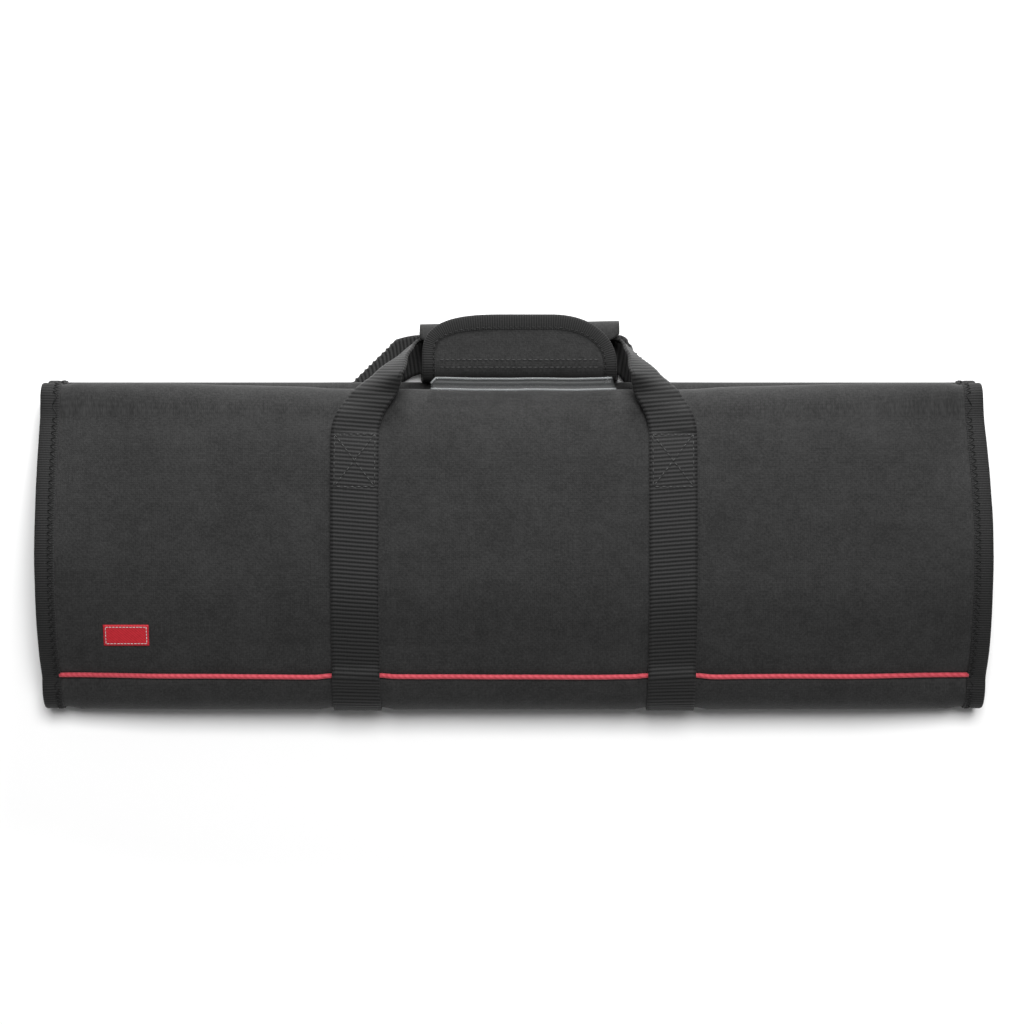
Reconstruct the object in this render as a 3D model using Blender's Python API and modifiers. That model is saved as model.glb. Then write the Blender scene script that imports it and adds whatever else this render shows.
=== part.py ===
"""A chef knife roll, closed and lying on its back, with its carrying loops and its wrap-round grip.

Metres. +X runs along the roll to its right end, +Y towards the grip and +Z up from the floor.
The origin is the centre of the back panel's flat resting face.
"""

import functools
import math
from collections import namedtuple

import bmesh
import bpy
from mathutils import Vector

MM = 0.001

# The closed roll
ROLL_WIDTH = 500 * MM
ROLL_HEIGHT = 174 * MM
MIDDLE_THICKNESS = 52 * MM
END_THICKNESS = 47.5 * MM
PANEL = 2 * MM
BOTTOM_FOLD_SHARE = 0.53
BOTTOM_FILL = 0.20
FILL_REACH = 70 * MM
FOLD_PLACE = 0.80
FOLD_DEPTH_SHARE = 1.2
FRONT_FOLD_DROP = 4.5 * MM
CLEARANCE = 0.3 * MM

# The tape over the sheet's side edges
TAPE = 0.8 * MM
TAPE_COVER = 10 * MM

# The piped seam on the front
SEAM_RISE = 19 * MM
PIPING_DIAMETER = 2.6 * MM
PIPING_PROUD = 1.5 * MM

# Webbing
WEBBING = 1.5 * MM
WEBBING_WIDTH = 25 * MM
STRAP_X = 83 * MM
FRONT_STITCH_Y = 60 * MM
REAR_STITCH_Y = 54 * MM
SEAM_BUMP_REACH = 7 * MM
GATHERED_FRONT = 16 * MM
GATHERED_REAR = 20 * MM
REAR_LOOP_GAP = 2.8 * MM
REAR_LOOP_SHIFT = 1.2 * MM

# Room that the back panel leaves for what lies under it
STRAP_ROOM_INWARD = 14 * MM
STRAP_ROOM_OUTWARD = 1.5 * MM
ROOM_SLOPE = 8 * MM

# The grip that is wrapped round both loops
GRIP_SHIFT = 3 * MM
GRIP_WIDTH = 106 * MM
GRIP_STANDOFF = 2.4 * MM
GRIP_DEPTH = 29.1 * MM
GRIP_RISE = 24.4 * MM
GRIP_SQUARENESS = 4.6
GRIP_FLOOR_GAP = 0.4 * MM
WRAP = 1.6 * MM
WRAP_TUCK_WIDTH = 84 * MM
FLAP_WIDTH = 100.6 * MM
FLAP_OVERHANG = 3.1 * MM
FLAP_LIFT = 3.1 * MM
FLAP_CORNER_ALONG = 27 * MM
FLAP_CORNER_OUT = 22 * MM
FLAP_TAPE = 0.7 * MM
FLAP_TAPE_COVER = 8 * MM

# Clear card sleeve on the front fold
SLEEVE_WIDTH = 97 * MM
SLEEVE_SHIFT = 5 * MM
SLEEVE_THICKNESS = 0.8 * MM
SLEEVE_LEG = 7 * MM
SLEEVE_REACH = 5.6 * MM
SLEEVE_DROP = 4.6 * MM

# Plain woven label
LABEL_WIDTH = 24 * MM
LABEL_HEIGHT = 11 * MM
LABEL_THICKNESS = 0.6 * MM
LABEL_FROM_END = 47 * MM
LABEL_RISE = 41 * MM

# How the thickness that the sheet and its tape leave free is shared between the rear lobe, the slit
# and the front lobe. place is a share of half the roll's height, up from its middle. fill is what the
# front lobe gains where the roll is full; the roll flattens towards its ends.
Layer = namedtuple("Layer", "place rear_lobe slit front_lobe fill")
LAYERS = (
    Layer(-0.62, 0.326, 0.197, 0.134, 0.12),
    Layer(-0.30, 0.362, 0.214, 0.351, 0.04),
    Layer(0.00, 0.362, 0.219, 0.419, 0.00),
    Layer(0.30, 0.326, 0.205, 0.367, 0.08),
    Layer(0.60, 0.263, 0.112, 0.310, 0.22),
    Layer(FOLD_PLACE, 0.189, 0.030, 0.293, 0.26),
)

# Bends of a free strap. inward is the share of the way from the strap's line to the grip's mouth,
# outward from the last stitch to the loop's line, height from the mouth up to the front fold, and
# twist is in degrees, positive where the inner edge rises.
Bend = namedtuple("Bend", "inward outward height twist")
FRONT_BENDS = (
    Bend(0.07, 0.17, 0.96, 6),
    Bend(0.28, 0.37, 0.98, 25),
    Bend(0.50, 0.60, 0.76, 55),
    Bend(0.76, 0.82, 0.36, 78),
    Bend(1.00, 0.96, 0.04, 88),
)
REAR_BENDS = (
    Bend(0.04, 0.28, 0.00, 0),
    Bend(0.24, 0.50, 0.02, 0),
    Bend(0.52, 0.76, 0.30, -6),
    Bend(0.74, 0.94, 1.00, 0),
    Bend(1.00, 1.00, 1.00, 0),
)

Finish = namedtuple("Finish", "name colour roughness alpha")
BLACK_FABRIC = Finish("black_fabric", (0.045, 0.045, 0.045), 0.85, 1.0)
BLACK_TAPE = Finish("black_tape", (0.038, 0.038, 0.038), 0.80, 1.0)
BLACK_WEBBING = Finish("black_webbing", (0.034, 0.034, 0.034), 0.75, 1.0)
RED_PIPING = Finish("red_piping", (0.60, 0.07, 0.09), 0.65, 1.0)
RED_LABEL = Finish("red_label", (0.50, 0.02, 0.04), 0.70, 1.0)
CLEAR_VINYL = Finish("clear_vinyl", (0.75, 0.77, 0.78), 0.15, 0.35)

HALF_HEIGHT = ROLL_HEIGHT / 2
TAPE_STACK = TAPE + CLEARANCE
LAYER_STACK = PANEL + 2 * TAPE_STACK + CLEARANCE
SHEET_EDGE = ROLL_WIDTH / 2 - TAPE_STACK
WEBBING_OFFSET = PANEL / 2 + CLEARANCE + WEBBING / 2
FOLD_ANGLES = tuple(math.radians(a) for a in (-70, -35, 0, 35, 70))

# Where the parts of the sheet's path start, counted in control points
FRONT_FOLD_START = len(LAYERS) - 1
FRONT_OUTER_START = FRONT_FOLD_START + len(FOLD_ANGLES) + 1
BOTTOM_FOLD_START = FRONT_OUTER_START + len(LAYERS)
BACK_START = BOTTOM_FOLD_START + len(FOLD_ANGLES) + 1
REAR_FOLD_START = BACK_START + 2
BACK_INNER_START = REAR_FOLD_START + len(FOLD_ANGLES) + 1
PATH_END = BACK_INNER_START + len(LAYERS) - 1


def clear_scene():
    for found in list(bpy.data.objects):
        bpy.data.objects.remove(found)


def material_of(finish):
    found = bpy.data.materials.get(finish.name)
    if found:
        return found
    made = bpy.data.materials.new(finish.name)
    made.use_nodes = True
    shader = made.node_tree.nodes["Principled BSDF"]
    shader.inputs["Base Color"].default_value = (*finish.colour, 1.0)
    shader.inputs["Roughness"].default_value = finish.roughness
    shader.inputs["Metallic"].default_value = 0.0
    shader.inputs["Alpha"].default_value = finish.alpha
    return made


def spread(start, end, count):
    """count + 1 numbers from start to end."""
    return [start + (end - start) * i / count for i in range(count + 1)]


def ease(share):
    """0 to 1 with no slope at either end, also for a share outside 0 to 1."""
    share = min(1.0, max(0.0, share))
    return share * share * (3 - 2 * share)


def on_curve(points, t):
    """The point at t, counted in points, of a centripetal Catmull-Rom curve."""
    i = min(int(t), len(points) - 2)
    before = points[i - 1] if i else points[0] * 2 - points[1]
    after = points[i + 2] if i + 2 < len(points) else points[-1] * 2 - points[-2]
    p = (before, points[i], points[i + 1], after)
    knots = [0.0]
    for a, b in zip(p, p[1:]):
        knots.append(knots[-1] + max(math.sqrt((b - a).length), 1e-6))
    at = knots[1] + (t - i) * (knots[2] - knots[1])

    def between(a, b, start, end):
        return a.lerp(b, (at - start) / (end - start))

    a = [between(p[k], p[k + 1], knots[k], knots[k + 1]) for k in range(3)]
    b = [between(a[k], a[k + 1], knots[k], knots[k + 2]) for k in range(2)]
    return between(b[0], b[1], knots[1], knots[2])


def sheet(name, rows, thickness, finish, parts):
    """An open grid of points, one list for each row, given its thickness on both sides."""
    along, across = len(rows) - 1, len(rows[0]) - 1
    shape = bmesh.new()
    bmesh.ops.create_grid(shape, x_segments=along, y_segments=across, size=0.5)
    for vertex in shape.verts:
        row = round((vertex.co.x + 0.5) * along)
        column = round((vertex.co.y + 0.5) * across)
        vertex.co = rows[row][column]
    mesh = bpy.data.meshes.new(name)
    shape.to_mesh(mesh)
    shape.free()
    mesh.materials.append(material_of(finish))
    mesh.shade_smooth()
    made = bpy.data.objects.new(name, mesh)
    parts.objects.link(made)
    wall = made.modifiers.new("wall", "SOLIDIFY")
    wall.thickness = thickness
    wall.offset = 0.0
    wall.use_even_offset = True
    wall.use_quality_normals = True
    return made


def tube(name, points, diameter, finish, parts):
    """A round cord along the points, with filled ends."""
    curve = bpy.data.curves.new(name, "CURVE")
    curve.dimensions = "3D"
    curve.bevel_depth = diameter / 2
    curve.bevel_resolution = 2
    curve.use_fill_caps = True
    line = curve.splines.new("POLY")
    line.points.add(len(points) - 1)
    for knot, place in zip(line.points, points):
        knot.co = (*place, 1.0)
    curve.materials.append(material_of(finish))
    made = bpy.data.objects.new(name, curve)
    parts.objects.link(made)
    return made


# The sheet, folded in four

def swell(x):
    """1 in the middle of the roll, 0 at its ends."""
    return math.cos(math.pi * x / ROLL_WIDTH) ** 2


def fullness(x):
    """1 along the filled part of the roll, 0 at its flat ends."""
    return ease((ROLL_WIDTH / 2 - abs(x)) / FILL_REACH)


def thickness_at(x):
    return END_THICKNESS + (MIDDLE_THICKNESS - END_THICKNESS) * swell(x)


def tape_room(x):
    """How far the sheet keeps inside its outline to leave room for the tape at its ends."""
    tape_from = ROLL_WIDTH / 2 - TAPE_COVER - STRAP_ROOM_OUTWARD
    return TAPE_STACK * (1 - ease((tape_from - abs(x)) / ROOM_SLOPE))


def ridge(x):
    """How far the rear fold and the bottom fold reach."""
    return HALF_HEIGHT - PANEL / 2 - tape_room(x)


def front_ridge(x):
    """The front fold's ridge, which sags a little in the middle."""
    return ridge(x) - FRONT_FOLD_DROP * swell(x)


def room_under(x):
    """How far the back panel is lifted by the strap or the tape beneath it."""
    inner = STRAP_X - WEBBING_WIDTH / 2 - STRAP_ROOM_INWARD
    outer = STRAP_X + WEBBING_WIDTH / 2 + STRAP_ROOM_OUTWARD
    beside_strap = max(inner - abs(x), abs(x) - outer, 0.0)
    over_strap = (WEBBING + CLEARANCE) * (1 - ease(beside_strap / ROOM_SLOPE))
    return max(over_strap, tape_room(x))


def fold(start, end, tip):
    """Control points of a soft, nearly round fold from start to end that reaches out to tip."""
    middle, half = (start.z + end.z) / 2, (end.z - start.z) / 2
    depth = math.copysign(FOLD_DEPTH_SHARE * abs(half), tip)
    return [
        Vector((start.x, tip - depth + depth * math.cos(a), middle + half * math.sin(a)))
        for a in FOLD_ANGLES
    ]


@functools.lru_cache(maxsize=None)
def section(x):
    """Control points of the sheet's middle line at x: front inner, front, bottom fold, back, back inner."""
    thickness = thickness_at(x)
    free = thickness - PANEL - 3 * LAYER_STACK
    full = fullness(x)
    back_inner, front_inner, front = [], [], []
    for row in LAYERS:
        y = row.place * HALF_HEIGHT
        z = PANEL / 2 + LAYER_STACK + row.rear_lobe * free
        back_inner.append(Vector((x, y, z)))
        z += LAYER_STACK + row.slit * free
        front_inner.append(Vector((x, y, z)))
        z += LAYER_STACK + (row.front_lobe + row.fill * full) * free
        front.append(Vector((x, y, z)))
    fold_y = FOLD_PLACE * HALF_HEIGHT
    floor = PANEL / 2 + room_under(x)
    bottom_share = BOTTOM_FOLD_SHARE + BOTTOM_FILL * full
    front.insert(0, Vector((x, -fold_y, bottom_share * thickness)))
    back = [Vector((x, y, floor)) for y in (-fold_y, 0.0, fold_y)]
    front.reverse()
    back_inner.reverse()
    return (
        front_inner
        + fold(front_inner[-1], front[0], front_ridge(x))
        + front
        + fold(front[-1], back[0], -ridge(x))
        + back
        + fold(back[-1], back_inner[0], ridge(x))
        + back_inner
    )


def on_sheet(x, t, outward=0.0):
    """A point of the sheet at t along its path, moved off its middle line towards its outer face."""
    points = section(x)
    floor = PANEL / 2 + room_under(x)

    def at(where):
        place = on_curve(points, where)
        place.z = max(place.z, floor)
        return place

    step = 0.02
    ahead = at(min(t + step, PATH_END)) - at(max(t - step, 0))
    normal = Vector((0, ahead.z, -ahead.y)).normalized()
    return at(t) + normal * outward


def t_where(y, start, end):
    """Where the path crosses y between two places on it."""
    rising = on_sheet(0.0, end).y > on_sheet(0.0, start).y
    for _ in range(40):
        middle = (start + end) / 2
        if (on_sheet(0.0, middle).y < y) == rising:
            start = middle
        else:
            end = middle
    return (start + end) / 2


SEAM_T = t_where(SEAM_RISE - HALF_HEIGHT, BOTTOM_FOLD_START - 2, BOTTOM_FOLD_START + 1)


def t_beside_seam(side):
    """The panel's edge beside the piping, before the seam for -1 and after it for 1."""
    room = PIPING_DIAMETER / 2 + CLEARANCE
    t = SEAM_T
    while min((on_sheet(x, t) - on_sheet(x, SEAM_T)).length for x in (0.0, SHEET_EDGE)) < room:
        t += side * 0.005
    return t


def stations():
    """Where the sheet's columns stand along the roll."""
    inner = STRAP_X - WEBBING_WIDTH / 2 - STRAP_ROOM_INWARD
    outer = STRAP_X + WEBBING_WIDTH / 2 + STRAP_ROOM_OUTWARD
    tape_from = ROLL_WIDTH / 2 - TAPE_COVER - STRAP_ROOM_OUTWARD
    full_to = ROLL_WIDTH / 2 - FILL_REACH
    half = [
        (inner - ROOM_SLOPE) / 2,
        inner - ROOM_SLOPE,
        inner,
        outer,
        outer + ROOM_SLOPE,
        (outer + full_to) / 2,
        full_to,
        (full_to + tape_from) / 2,
        tape_from - ROOM_SLOPE,
        tape_from,
        SHEET_EDGE,
    ]
    return [-x for x in reversed(half)] + [0.0] + half


def front_steps():
    edge = t_beside_seam(-1)
    return (
        spread(0, FRONT_FOLD_START, 5)
        + spread(FRONT_FOLD_START, FRONT_OUTER_START, 10)[1:]
        + spread(FRONT_OUTER_START, edge, 10)[1:]
    )


def back_steps():
    edge = t_beside_seam(1)
    return (
        spread(edge, BACK_START, 14)
        + spread(BACK_START, REAR_FOLD_START, 2)[1:]
        + spread(REAR_FOLD_START, BACK_INNER_START, 10)[1:]
        + spread(BACK_INNER_START, PATH_END, 5)[1:]
    )


def make_panels(parts):
    columns = stations()
    for name, steps in (("front_panel", front_steps()), ("back_panel", back_steps())):
        rows = [[on_sheet(x, t) for x in columns] for t in steps]
        sheet(name, rows, PANEL, BLACK_FABRIC, parts)


def make_piping(parts):
    """A cord in the gap between the two panels, from tape to tape."""
    reach = ROLL_WIDTH / 2 - TAPE_COVER - CLEARANCE
    outward = PANEL / 2 + PIPING_PROUD - PIPING_DIAMETER / 2
    points = [on_sheet(x, SEAM_T, outward) for x in spread(-reach, reach, 16)]
    tube("piping", points, PIPING_DIAMETER, RED_PIPING, parts)


def tape_section(cover, offset, tape):
    """A folded tape's middle line round an edge: how far inside the outer edge, and how far off the sheet."""
    bend = 0.55 * offset
    return (
        (cover, -offset),
        (bend, -offset),
        (tape / 2, -0.6 * offset),
        (tape / 2, 0.6 * offset),
        (bend, offset),
        (cover, offset),
    )


def make_edge_bindings(parts):
    offset = PANEL / 2 + CLEARANCE + TAPE / 2
    profile = tape_section(TAPE_COVER, offset, TAPE)
    steps = front_steps() + back_steps()
    for name, side in (("edge_binding_left", -1), ("edge_binding_right", 1)):
        rows = [
            [on_sheet(side * (ROLL_WIDTH / 2 - inset), t, outward) for inset, outward in profile]
            for t in steps
        ]
        sheet(name, rows, TAPE, BLACK_TAPE, parts)


# Webbing

def lying_row(side, t, offset):
    """A strap's outer edge, middle and inner edge where it lies on the sheet."""
    half = WEBBING_WIDTH / 2
    return [on_sheet(side * (STRAP_X + across), t, offset) for across in (half, 0.0, -half)]


def over_seam(t):
    """The strap's extra height where it passes over the piping."""
    away = (on_sheet(STRAP_X, t) - on_sheet(STRAP_X, SEAM_T)).length
    return (PIPING_PROUD + CLEARANCE) * (1 - ease(away / SEAM_BUMP_REACH))


def grip_mouth(side):
    return GRIP_SHIFT + side * GRIP_WIDTH / 2


def free_rows(controls, samples):
    """Rows of a free strap, through its controls: (centre, twist in radians, width)."""
    centres = [centre for centre, _, _ in controls]
    extras = [Vector((twist, width, 0.0)) for _, twist, width in controls]
    rows = []
    last = len(controls) - 1
    for t in samples:
        step = 0.05
        ahead = on_curve(centres, min(t + step, last)) - on_curve(centres, max(t - step, 0))
        along = ahead.normalized()
        i = min(int(t), last - 1)
        extra = extras[i].lerp(extras[i + 1], t - i)
        up = (Vector((0, 0, 1)) - along * along.z).normalized()
        inward = along.cross(up)
        inner = inward * math.cos(extra.x) + up * math.sin(extra.x)
        centre = on_curve(centres, t)
        half = extra.y / 2
        rows.append((centre, inner * half))
    return rows


def edges_of(rows, side):
    """Outer edge, middle and inner edge. On the right the inner side is the other way round."""
    found = []
    for centre, inner in rows:
        if side > 0:
            centre = Vector((-centre.x, centre.y, centre.z))
            inner = Vector((-inner.x, inner.y, inner.z))
        found.append([centre - inner, centre, centre + inner])
    return found


def front_controls(side):
    """The front strap from its last stitch to the grip, as if it were the left one."""
    mouth = -abs(grip_mouth(side))
    fold_top = on_sheet(STRAP_X, (FRONT_FOLD_START + FRONT_OUTER_START) / 2 + 2, PANEL / 2).z
    crest = fold_top + CLEARANCE + WEBBING / 2
    mouth_z = front_loop_z()
    controls = []
    for t in (t_front(FRONT_STITCH_Y - WEBBING_WIDTH / 2), t_front(FRONT_STITCH_Y)):
        controls.append((on_sheet(-STRAP_X, t, WEBBING_OFFSET), 0.0, WEBBING_WIDTH))
    for bend in FRONT_BENDS:
        twist = math.radians(bend.twist)
        width = GATHERED_FRONT + (WEBBING_WIDTH - GATHERED_FRONT) * ease(2 - 2 * bend.inward)
        y = FRONT_STITCH_Y + bend.outward * (front_loop_y() - FRONT_STITCH_Y)
        z = mouth_z + bend.height * (crest - mouth_z) + bend.height * width / 2 * math.sin(twist)
        lower = y - WEBBING_WIDTH / 6
        surface = on_sheet(STRAP_X, t_front(lower), PANEL / 2).z if y < FOLD_PLACE * HALF_HEIGHT else 0.0
        z = max(z, surface + CLEARANCE + WEBBING + width / 2 * math.sin(twist))
        controls.append((Vector((-STRAP_X + bend.inward * (mouth + STRAP_X), y, z)), twist, width))
    inside = Vector((mouth + GRIP_WIDTH / 8, front_loop_y(), mouth_z))
    controls.append((inside, math.radians(90), GATHERED_FRONT))
    return controls


def rear_controls(side):
    """The rear strap from its last stitch to the grip, as if it were the left one."""
    mouth = -abs(grip_mouth(side))
    controls = []
    for y in (REAR_STITCH_Y - WEBBING_WIDTH / 2, REAR_STITCH_Y):
        controls.append((Vector((-STRAP_X, y, WEBBING / 2)), 0.0, WEBBING_WIDTH))
    for bend in REAR_BENDS:
        twist = math.radians(bend.twist)
        width = GATHERED_REAR + (WEBBING_WIDTH - GATHERED_REAR) * ease(1.5 - 1.5 * bend.inward)
        y = REAR_STITCH_Y + bend.outward * (rear_loop_y() - REAR_STITCH_Y)
        z = WEBBING / 2 + bend.height * (rear_loop_z() - WEBBING / 2)
        z = max(z, WEBBING / 2 + width / 2 * math.sin(abs(twist)))
        controls.append((Vector((-STRAP_X + bend.inward * (mouth + STRAP_X), y, z)), twist, width))
    inside = Vector((mouth + GRIP_WIDTH / 8, rear_loop_y(), rear_loop_z()))
    controls.append((inside, 0.0, GATHERED_REAR))
    return controls


def t_front(y):
    return t_where(y, FRONT_OUTER_START - 1, BOTTOM_FOLD_START)


def make_webbing(name, lying_steps, controls_of, parts):
    """One length of webbing: up the left strap, through the grip and down the right strap."""
    halves = []
    for side in (-1, 1):
        rows = [lying_row(side, t, WEBBING_OFFSET + over_seam(t)) for t in lying_steps]
        controls = controls_of(side)
        samples = spread(1, len(controls) - 1, 3 * (len(controls) - 2))[1:]
        rows += edges_of(free_rows(controls, samples), side)
        halves.append(rows)
    left, right = halves
    sheet(name, left + right[::-1], WEBBING, BLACK_WEBBING, parts)


def make_webbings(parts):
    """The two lengths meet, a clearance apart, under the bottom fold."""
    step = 0.01
    meet = BACK_START
    speed = (on_sheet(0.0, meet + step) - on_sheet(0.0, meet)).length / step
    gap = CLEARANCE / 2 / speed
    seam_area = spread(SEAM_T + 0.6, SEAM_T - 0.6, 8)
    front_steps_up = (
        spread(meet - gap, BOTTOM_FOLD_START + 1.2, 13)
        + seam_area
        + spread(SEAM_T - 1, t_front(FRONT_STITCH_Y), 9)
    )
    make_webbing("front_webbing", front_steps_up, front_controls, parts)
    back_y = t_where(REAR_STITCH_Y, BACK_START, REAR_FOLD_START)
    make_webbing("rear_webbing", spread(meet + gap, back_y, 3), rear_controls, parts)


# Grip

def grip_centre():
    """The middle of the loop that the wrap's middle line makes, seen from the end."""
    y = HALF_HEIGHT + GRIP_STANDOFF + GRIP_DEPTH / 2
    z = GRIP_FLOOR_GAP + WRAP / 2 + GRIP_RISE / 2
    return Vector((GRIP_SHIFT, y, z))


def rear_loop_y():
    return grip_centre().y + REAR_LOOP_SHIFT


def rear_loop_z():
    """Flat near the bottom of the wrap's hollow."""
    return GRIP_FLOOR_GAP + WRAP + WEBBING + REAR_LOOP_GAP


def front_loop_y():
    return grip_centre().y + GRIP_DEPTH / 4 + WEBBING / 2


def front_loop_z():
    """On edge above the rear loop."""
    return rear_loop_z() + WEBBING / 2 + CLEARANCE + GATHERED_FRONT / 2


def round_loop(angle, rise):
    """A point of the squared-off loop. Angle 0 is its outer side, away from the roll."""
    def power(value):
        return math.copysign(abs(value) ** (2 / GRIP_SQUARENESS), value)

    centre = grip_centre()
    return Vector((
        0.0,
        centre.y + GRIP_DEPTH / 2 * power(math.cos(angle)),
        centre.z + (GRIP_RISE / 2 + rise) * power(math.sin(angle)),
    ))


def wrap_points():
    """The wrap's middle line from its tucked end, round the loops, to the end of its flap."""
    lift = FLAP_LIFT
    inner = (108, 92, 75, 45, 20, -20, -45, -75, -105, -135, -160)
    points = [round_loop(math.radians(a), 0.0) for a in inner]
    points += [round_loop(math.radians(a), lift) for a in (-200, -225, -250)]
    centre = grip_centre()
    top = centre.z + GRIP_RISE / 2
    end = centre.y + GRIP_DEPTH / 2 + FLAP_OVERHANG
    points.append(Vector((0.0, centre.y + GRIP_DEPTH / 10, top + FLAP_LIFT)))
    points.append(Vector((0.0, centre.y + GRIP_DEPTH / 3, top + FLAP_LIFT)))
    points.append(Vector((0.0, end, top + FLAP_LIFT)))
    return points


WRAP_POINTS = wrap_points()
WRAP_END = len(WRAP_POINTS) - 1
TUCK_END = 2.6
FLAP_START = 11.0
FLAP_TAPE_START = 10.6


def on_wrap(x, t, outward=0.0):
    """A point of the wrap at t along its middle line. Outward is away from the loops."""
    step = 0.02
    ahead = on_curve(WRAP_POINTS, min(t + step, WRAP_END)) - on_curve(WRAP_POINTS, max(t - step, 0))
    normal = Vector((0, -ahead.z, ahead.y)).normalized()
    place = on_curve(WRAP_POINTS, t) + normal * outward
    return Vector((GRIP_SHIFT + x, place.y, place.z))


def flap_outline(share):
    """The flap's end corner at share 0 to 1 of a quarter turn: how far in from the side, and from the end."""
    angle = share * math.pi / 2
    inset = FLAP_CORNER_ALONG * (1 - math.cos(angle))
    return inset, FLAP_CORNER_OUT * (1 - math.sin(angle))


def end_length(t):
    """The middle line's length from t to the flap's end."""
    steps = spread(t, WRAP_END, 12)
    places = [on_curve(WRAP_POINTS, s) for s in steps]
    return sum((b - a).length for a, b in zip(places, places[1:]))


def t_from_end(length):
    start, end = FLAP_START, WRAP_END
    for _ in range(30):
        middle = (start + end) / 2
        if end_length(middle) > length:
            start = middle
        else:
            end = middle
    return (start + end) / 2


def wrap_rows():
    """(t, half width) of each row: the narrow tuck, the full wrap, then the flap with its round corners."""
    rows = [(t, WRAP_TUCK_WIDTH / 2) for t in spread(0, TUCK_END - 0.5, 3)]
    rows += [(t, GRIP_WIDTH / 2) for t in spread(TUCK_END, FLAP_START - 1, 12)]
    rows += [(t, FLAP_WIDTH / 2) for t in spread(FLAP_START - 0.6, t_from_end(FLAP_CORNER_OUT), 6)]
    for share in (0.2, 0.4, 0.6, 0.8, 1.0):
        inset, from_end = flap_outline(share)
        rows.append((t_from_end(from_end), FLAP_WIDTH / 2 - inset))
    return rows


def make_grip_wrap(parts):
    columns = spread(-1, 1, 6)
    rows = [[on_wrap(half * share, t) for share in columns] for t, half in wrap_rows()]
    sheet("grip_wrap", rows, WRAP, BLACK_FABRIC, parts)


def flap_edge():
    """Points of the flap's edge, from its left side round its end: x, t and the outward direction."""
    half = FLAP_WIDTH / 2
    side = [(half, t, (1.0, 0.0)) for t in spread(FLAP_TAPE_START, t_from_end(FLAP_CORNER_OUT), 8)]
    corner = []
    for share in (0.2, 0.4, 0.6, 0.8, 1.0):
        inset, from_end = flap_outline(share)
        angle = share * math.pi / 2
        away = Vector((math.cos(angle) / FLAP_CORNER_ALONG, math.sin(angle) / FLAP_CORNER_OUT)).normalized()
        corner.append((half - inset, t_from_end(from_end), tuple(away)))
    right = side + corner
    left = [(-x, t, (-across, along)) for x, t, (across, along) in right]
    return left + right[::-1]


def make_grip_binding(parts):
    offset = WRAP / 2 + CLEARANCE + FLAP_TAPE / 2
    edge_out = CLEARANCE + FLAP_TAPE
    profile = tape_section(FLAP_TAPE_COVER, offset, FLAP_TAPE)
    rows = []
    for x, t, (across, along) in flap_edge():
        step = 0.01
        speed = (on_curve(WRAP_POINTS, t - step) - on_curve(WRAP_POINTS, t)).length / step
        row = []
        for inset, outward in profile:
            out = edge_out - inset
            reach = t + along * out / speed
            past = max(0.0, reach - WRAP_END) * speed
            place = on_wrap(x + across * out, min(reach, WRAP_END), outward)
            row.append(place + Vector((0.0, past, 0.0)))
        rows.append(row)
    sheet("grip_binding", rows, FLAP_TAPE, BLACK_TAPE, parts)


# Card sleeve and label

def make_card_sleeve(parts):
    """Clear plastic: a leg on the front fold's ridge, bent over towards the grip."""
    rows = []
    for x in spread(SLEEVE_SHIFT - SLEEVE_WIDTH / 2, SLEEVE_SHIFT + SLEEVE_WIDTH / 2, 8):
        points = section(x)
        ridge_z = points[FRONT_FOLD_START + 3].z
        top_z = on_sheet(x, FRONT_OUTER_START - 1, PANEL / 2).z + CLEARANCE
        y = front_ridge(x) + PANEL / 2 + CLEARANCE + SLEEVE_THICKNESS / 2
        leg_top = max(top_z, ridge_z + SLEEVE_LEG)
        rows.append([
            Vector((x, y, ridge_z)),
            Vector((x, y, leg_top - SLEEVE_THICKNESS)),
            Vector((x, y + SLEEVE_THICKNESS, leg_top)),
            Vector((x, y + SLEEVE_REACH / 2, leg_top - 0.45 * SLEEVE_DROP)),
            Vector((x, y + SLEEVE_REACH, leg_top - SLEEVE_DROP)),
        ])
    sheet("card_sleeve", rows, SLEEVE_THICKNESS, CLEAR_VINYL, parts)


def make_label(parts):
    offset = PANEL / 2 + CLEARANCE + LABEL_THICKNESS / 2
    x, y = LABEL_FROM_END - ROLL_WIDTH / 2, LABEL_RISE - HALF_HEIGHT
    steps = spread(t_front(y + LABEL_HEIGHT / 2), t_front(y - LABEL_HEIGHT / 2), 3)
    columns = spread(x - LABEL_WIDTH / 2, x + LABEL_WIDTH / 2, 4)
    rows = [[on_sheet(x, t, offset) for x in columns] for t in steps]
    sheet("blank_label", rows, LABEL_THICKNESS, RED_LABEL, parts)


def main():
    clear_scene()
    parts = bpy.data.collections.new("chef_knife_roll")
    bpy.context.scene.collection.children.link(parts)
    make_panels(parts)
    make_piping(parts)
    make_edge_bindings(parts)
    make_webbings(parts)
    make_grip_wrap(parts)
    make_grip_binding(parts)
    make_card_sleeve(parts)
    make_label(parts)


main()
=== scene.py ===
"""Looks of the closed chef knife roll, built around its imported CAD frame.

The roll lies on its back: +X runs along it, +Y towards its grip and +Z up from the floor. The sheet
is built again here along the same folded line as in the CAD, with finer cloth, its seams, its
ribbed webbing and its stitching.
"""

import bisect
import functools
import logging
import math
from collections.abc import Callable, Iterable, Sequence
from dataclasses import dataclass, field
from enum import Enum
from typing import ClassVar, NamedTuple

import bmesh
import bpy
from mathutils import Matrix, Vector, noise


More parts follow.
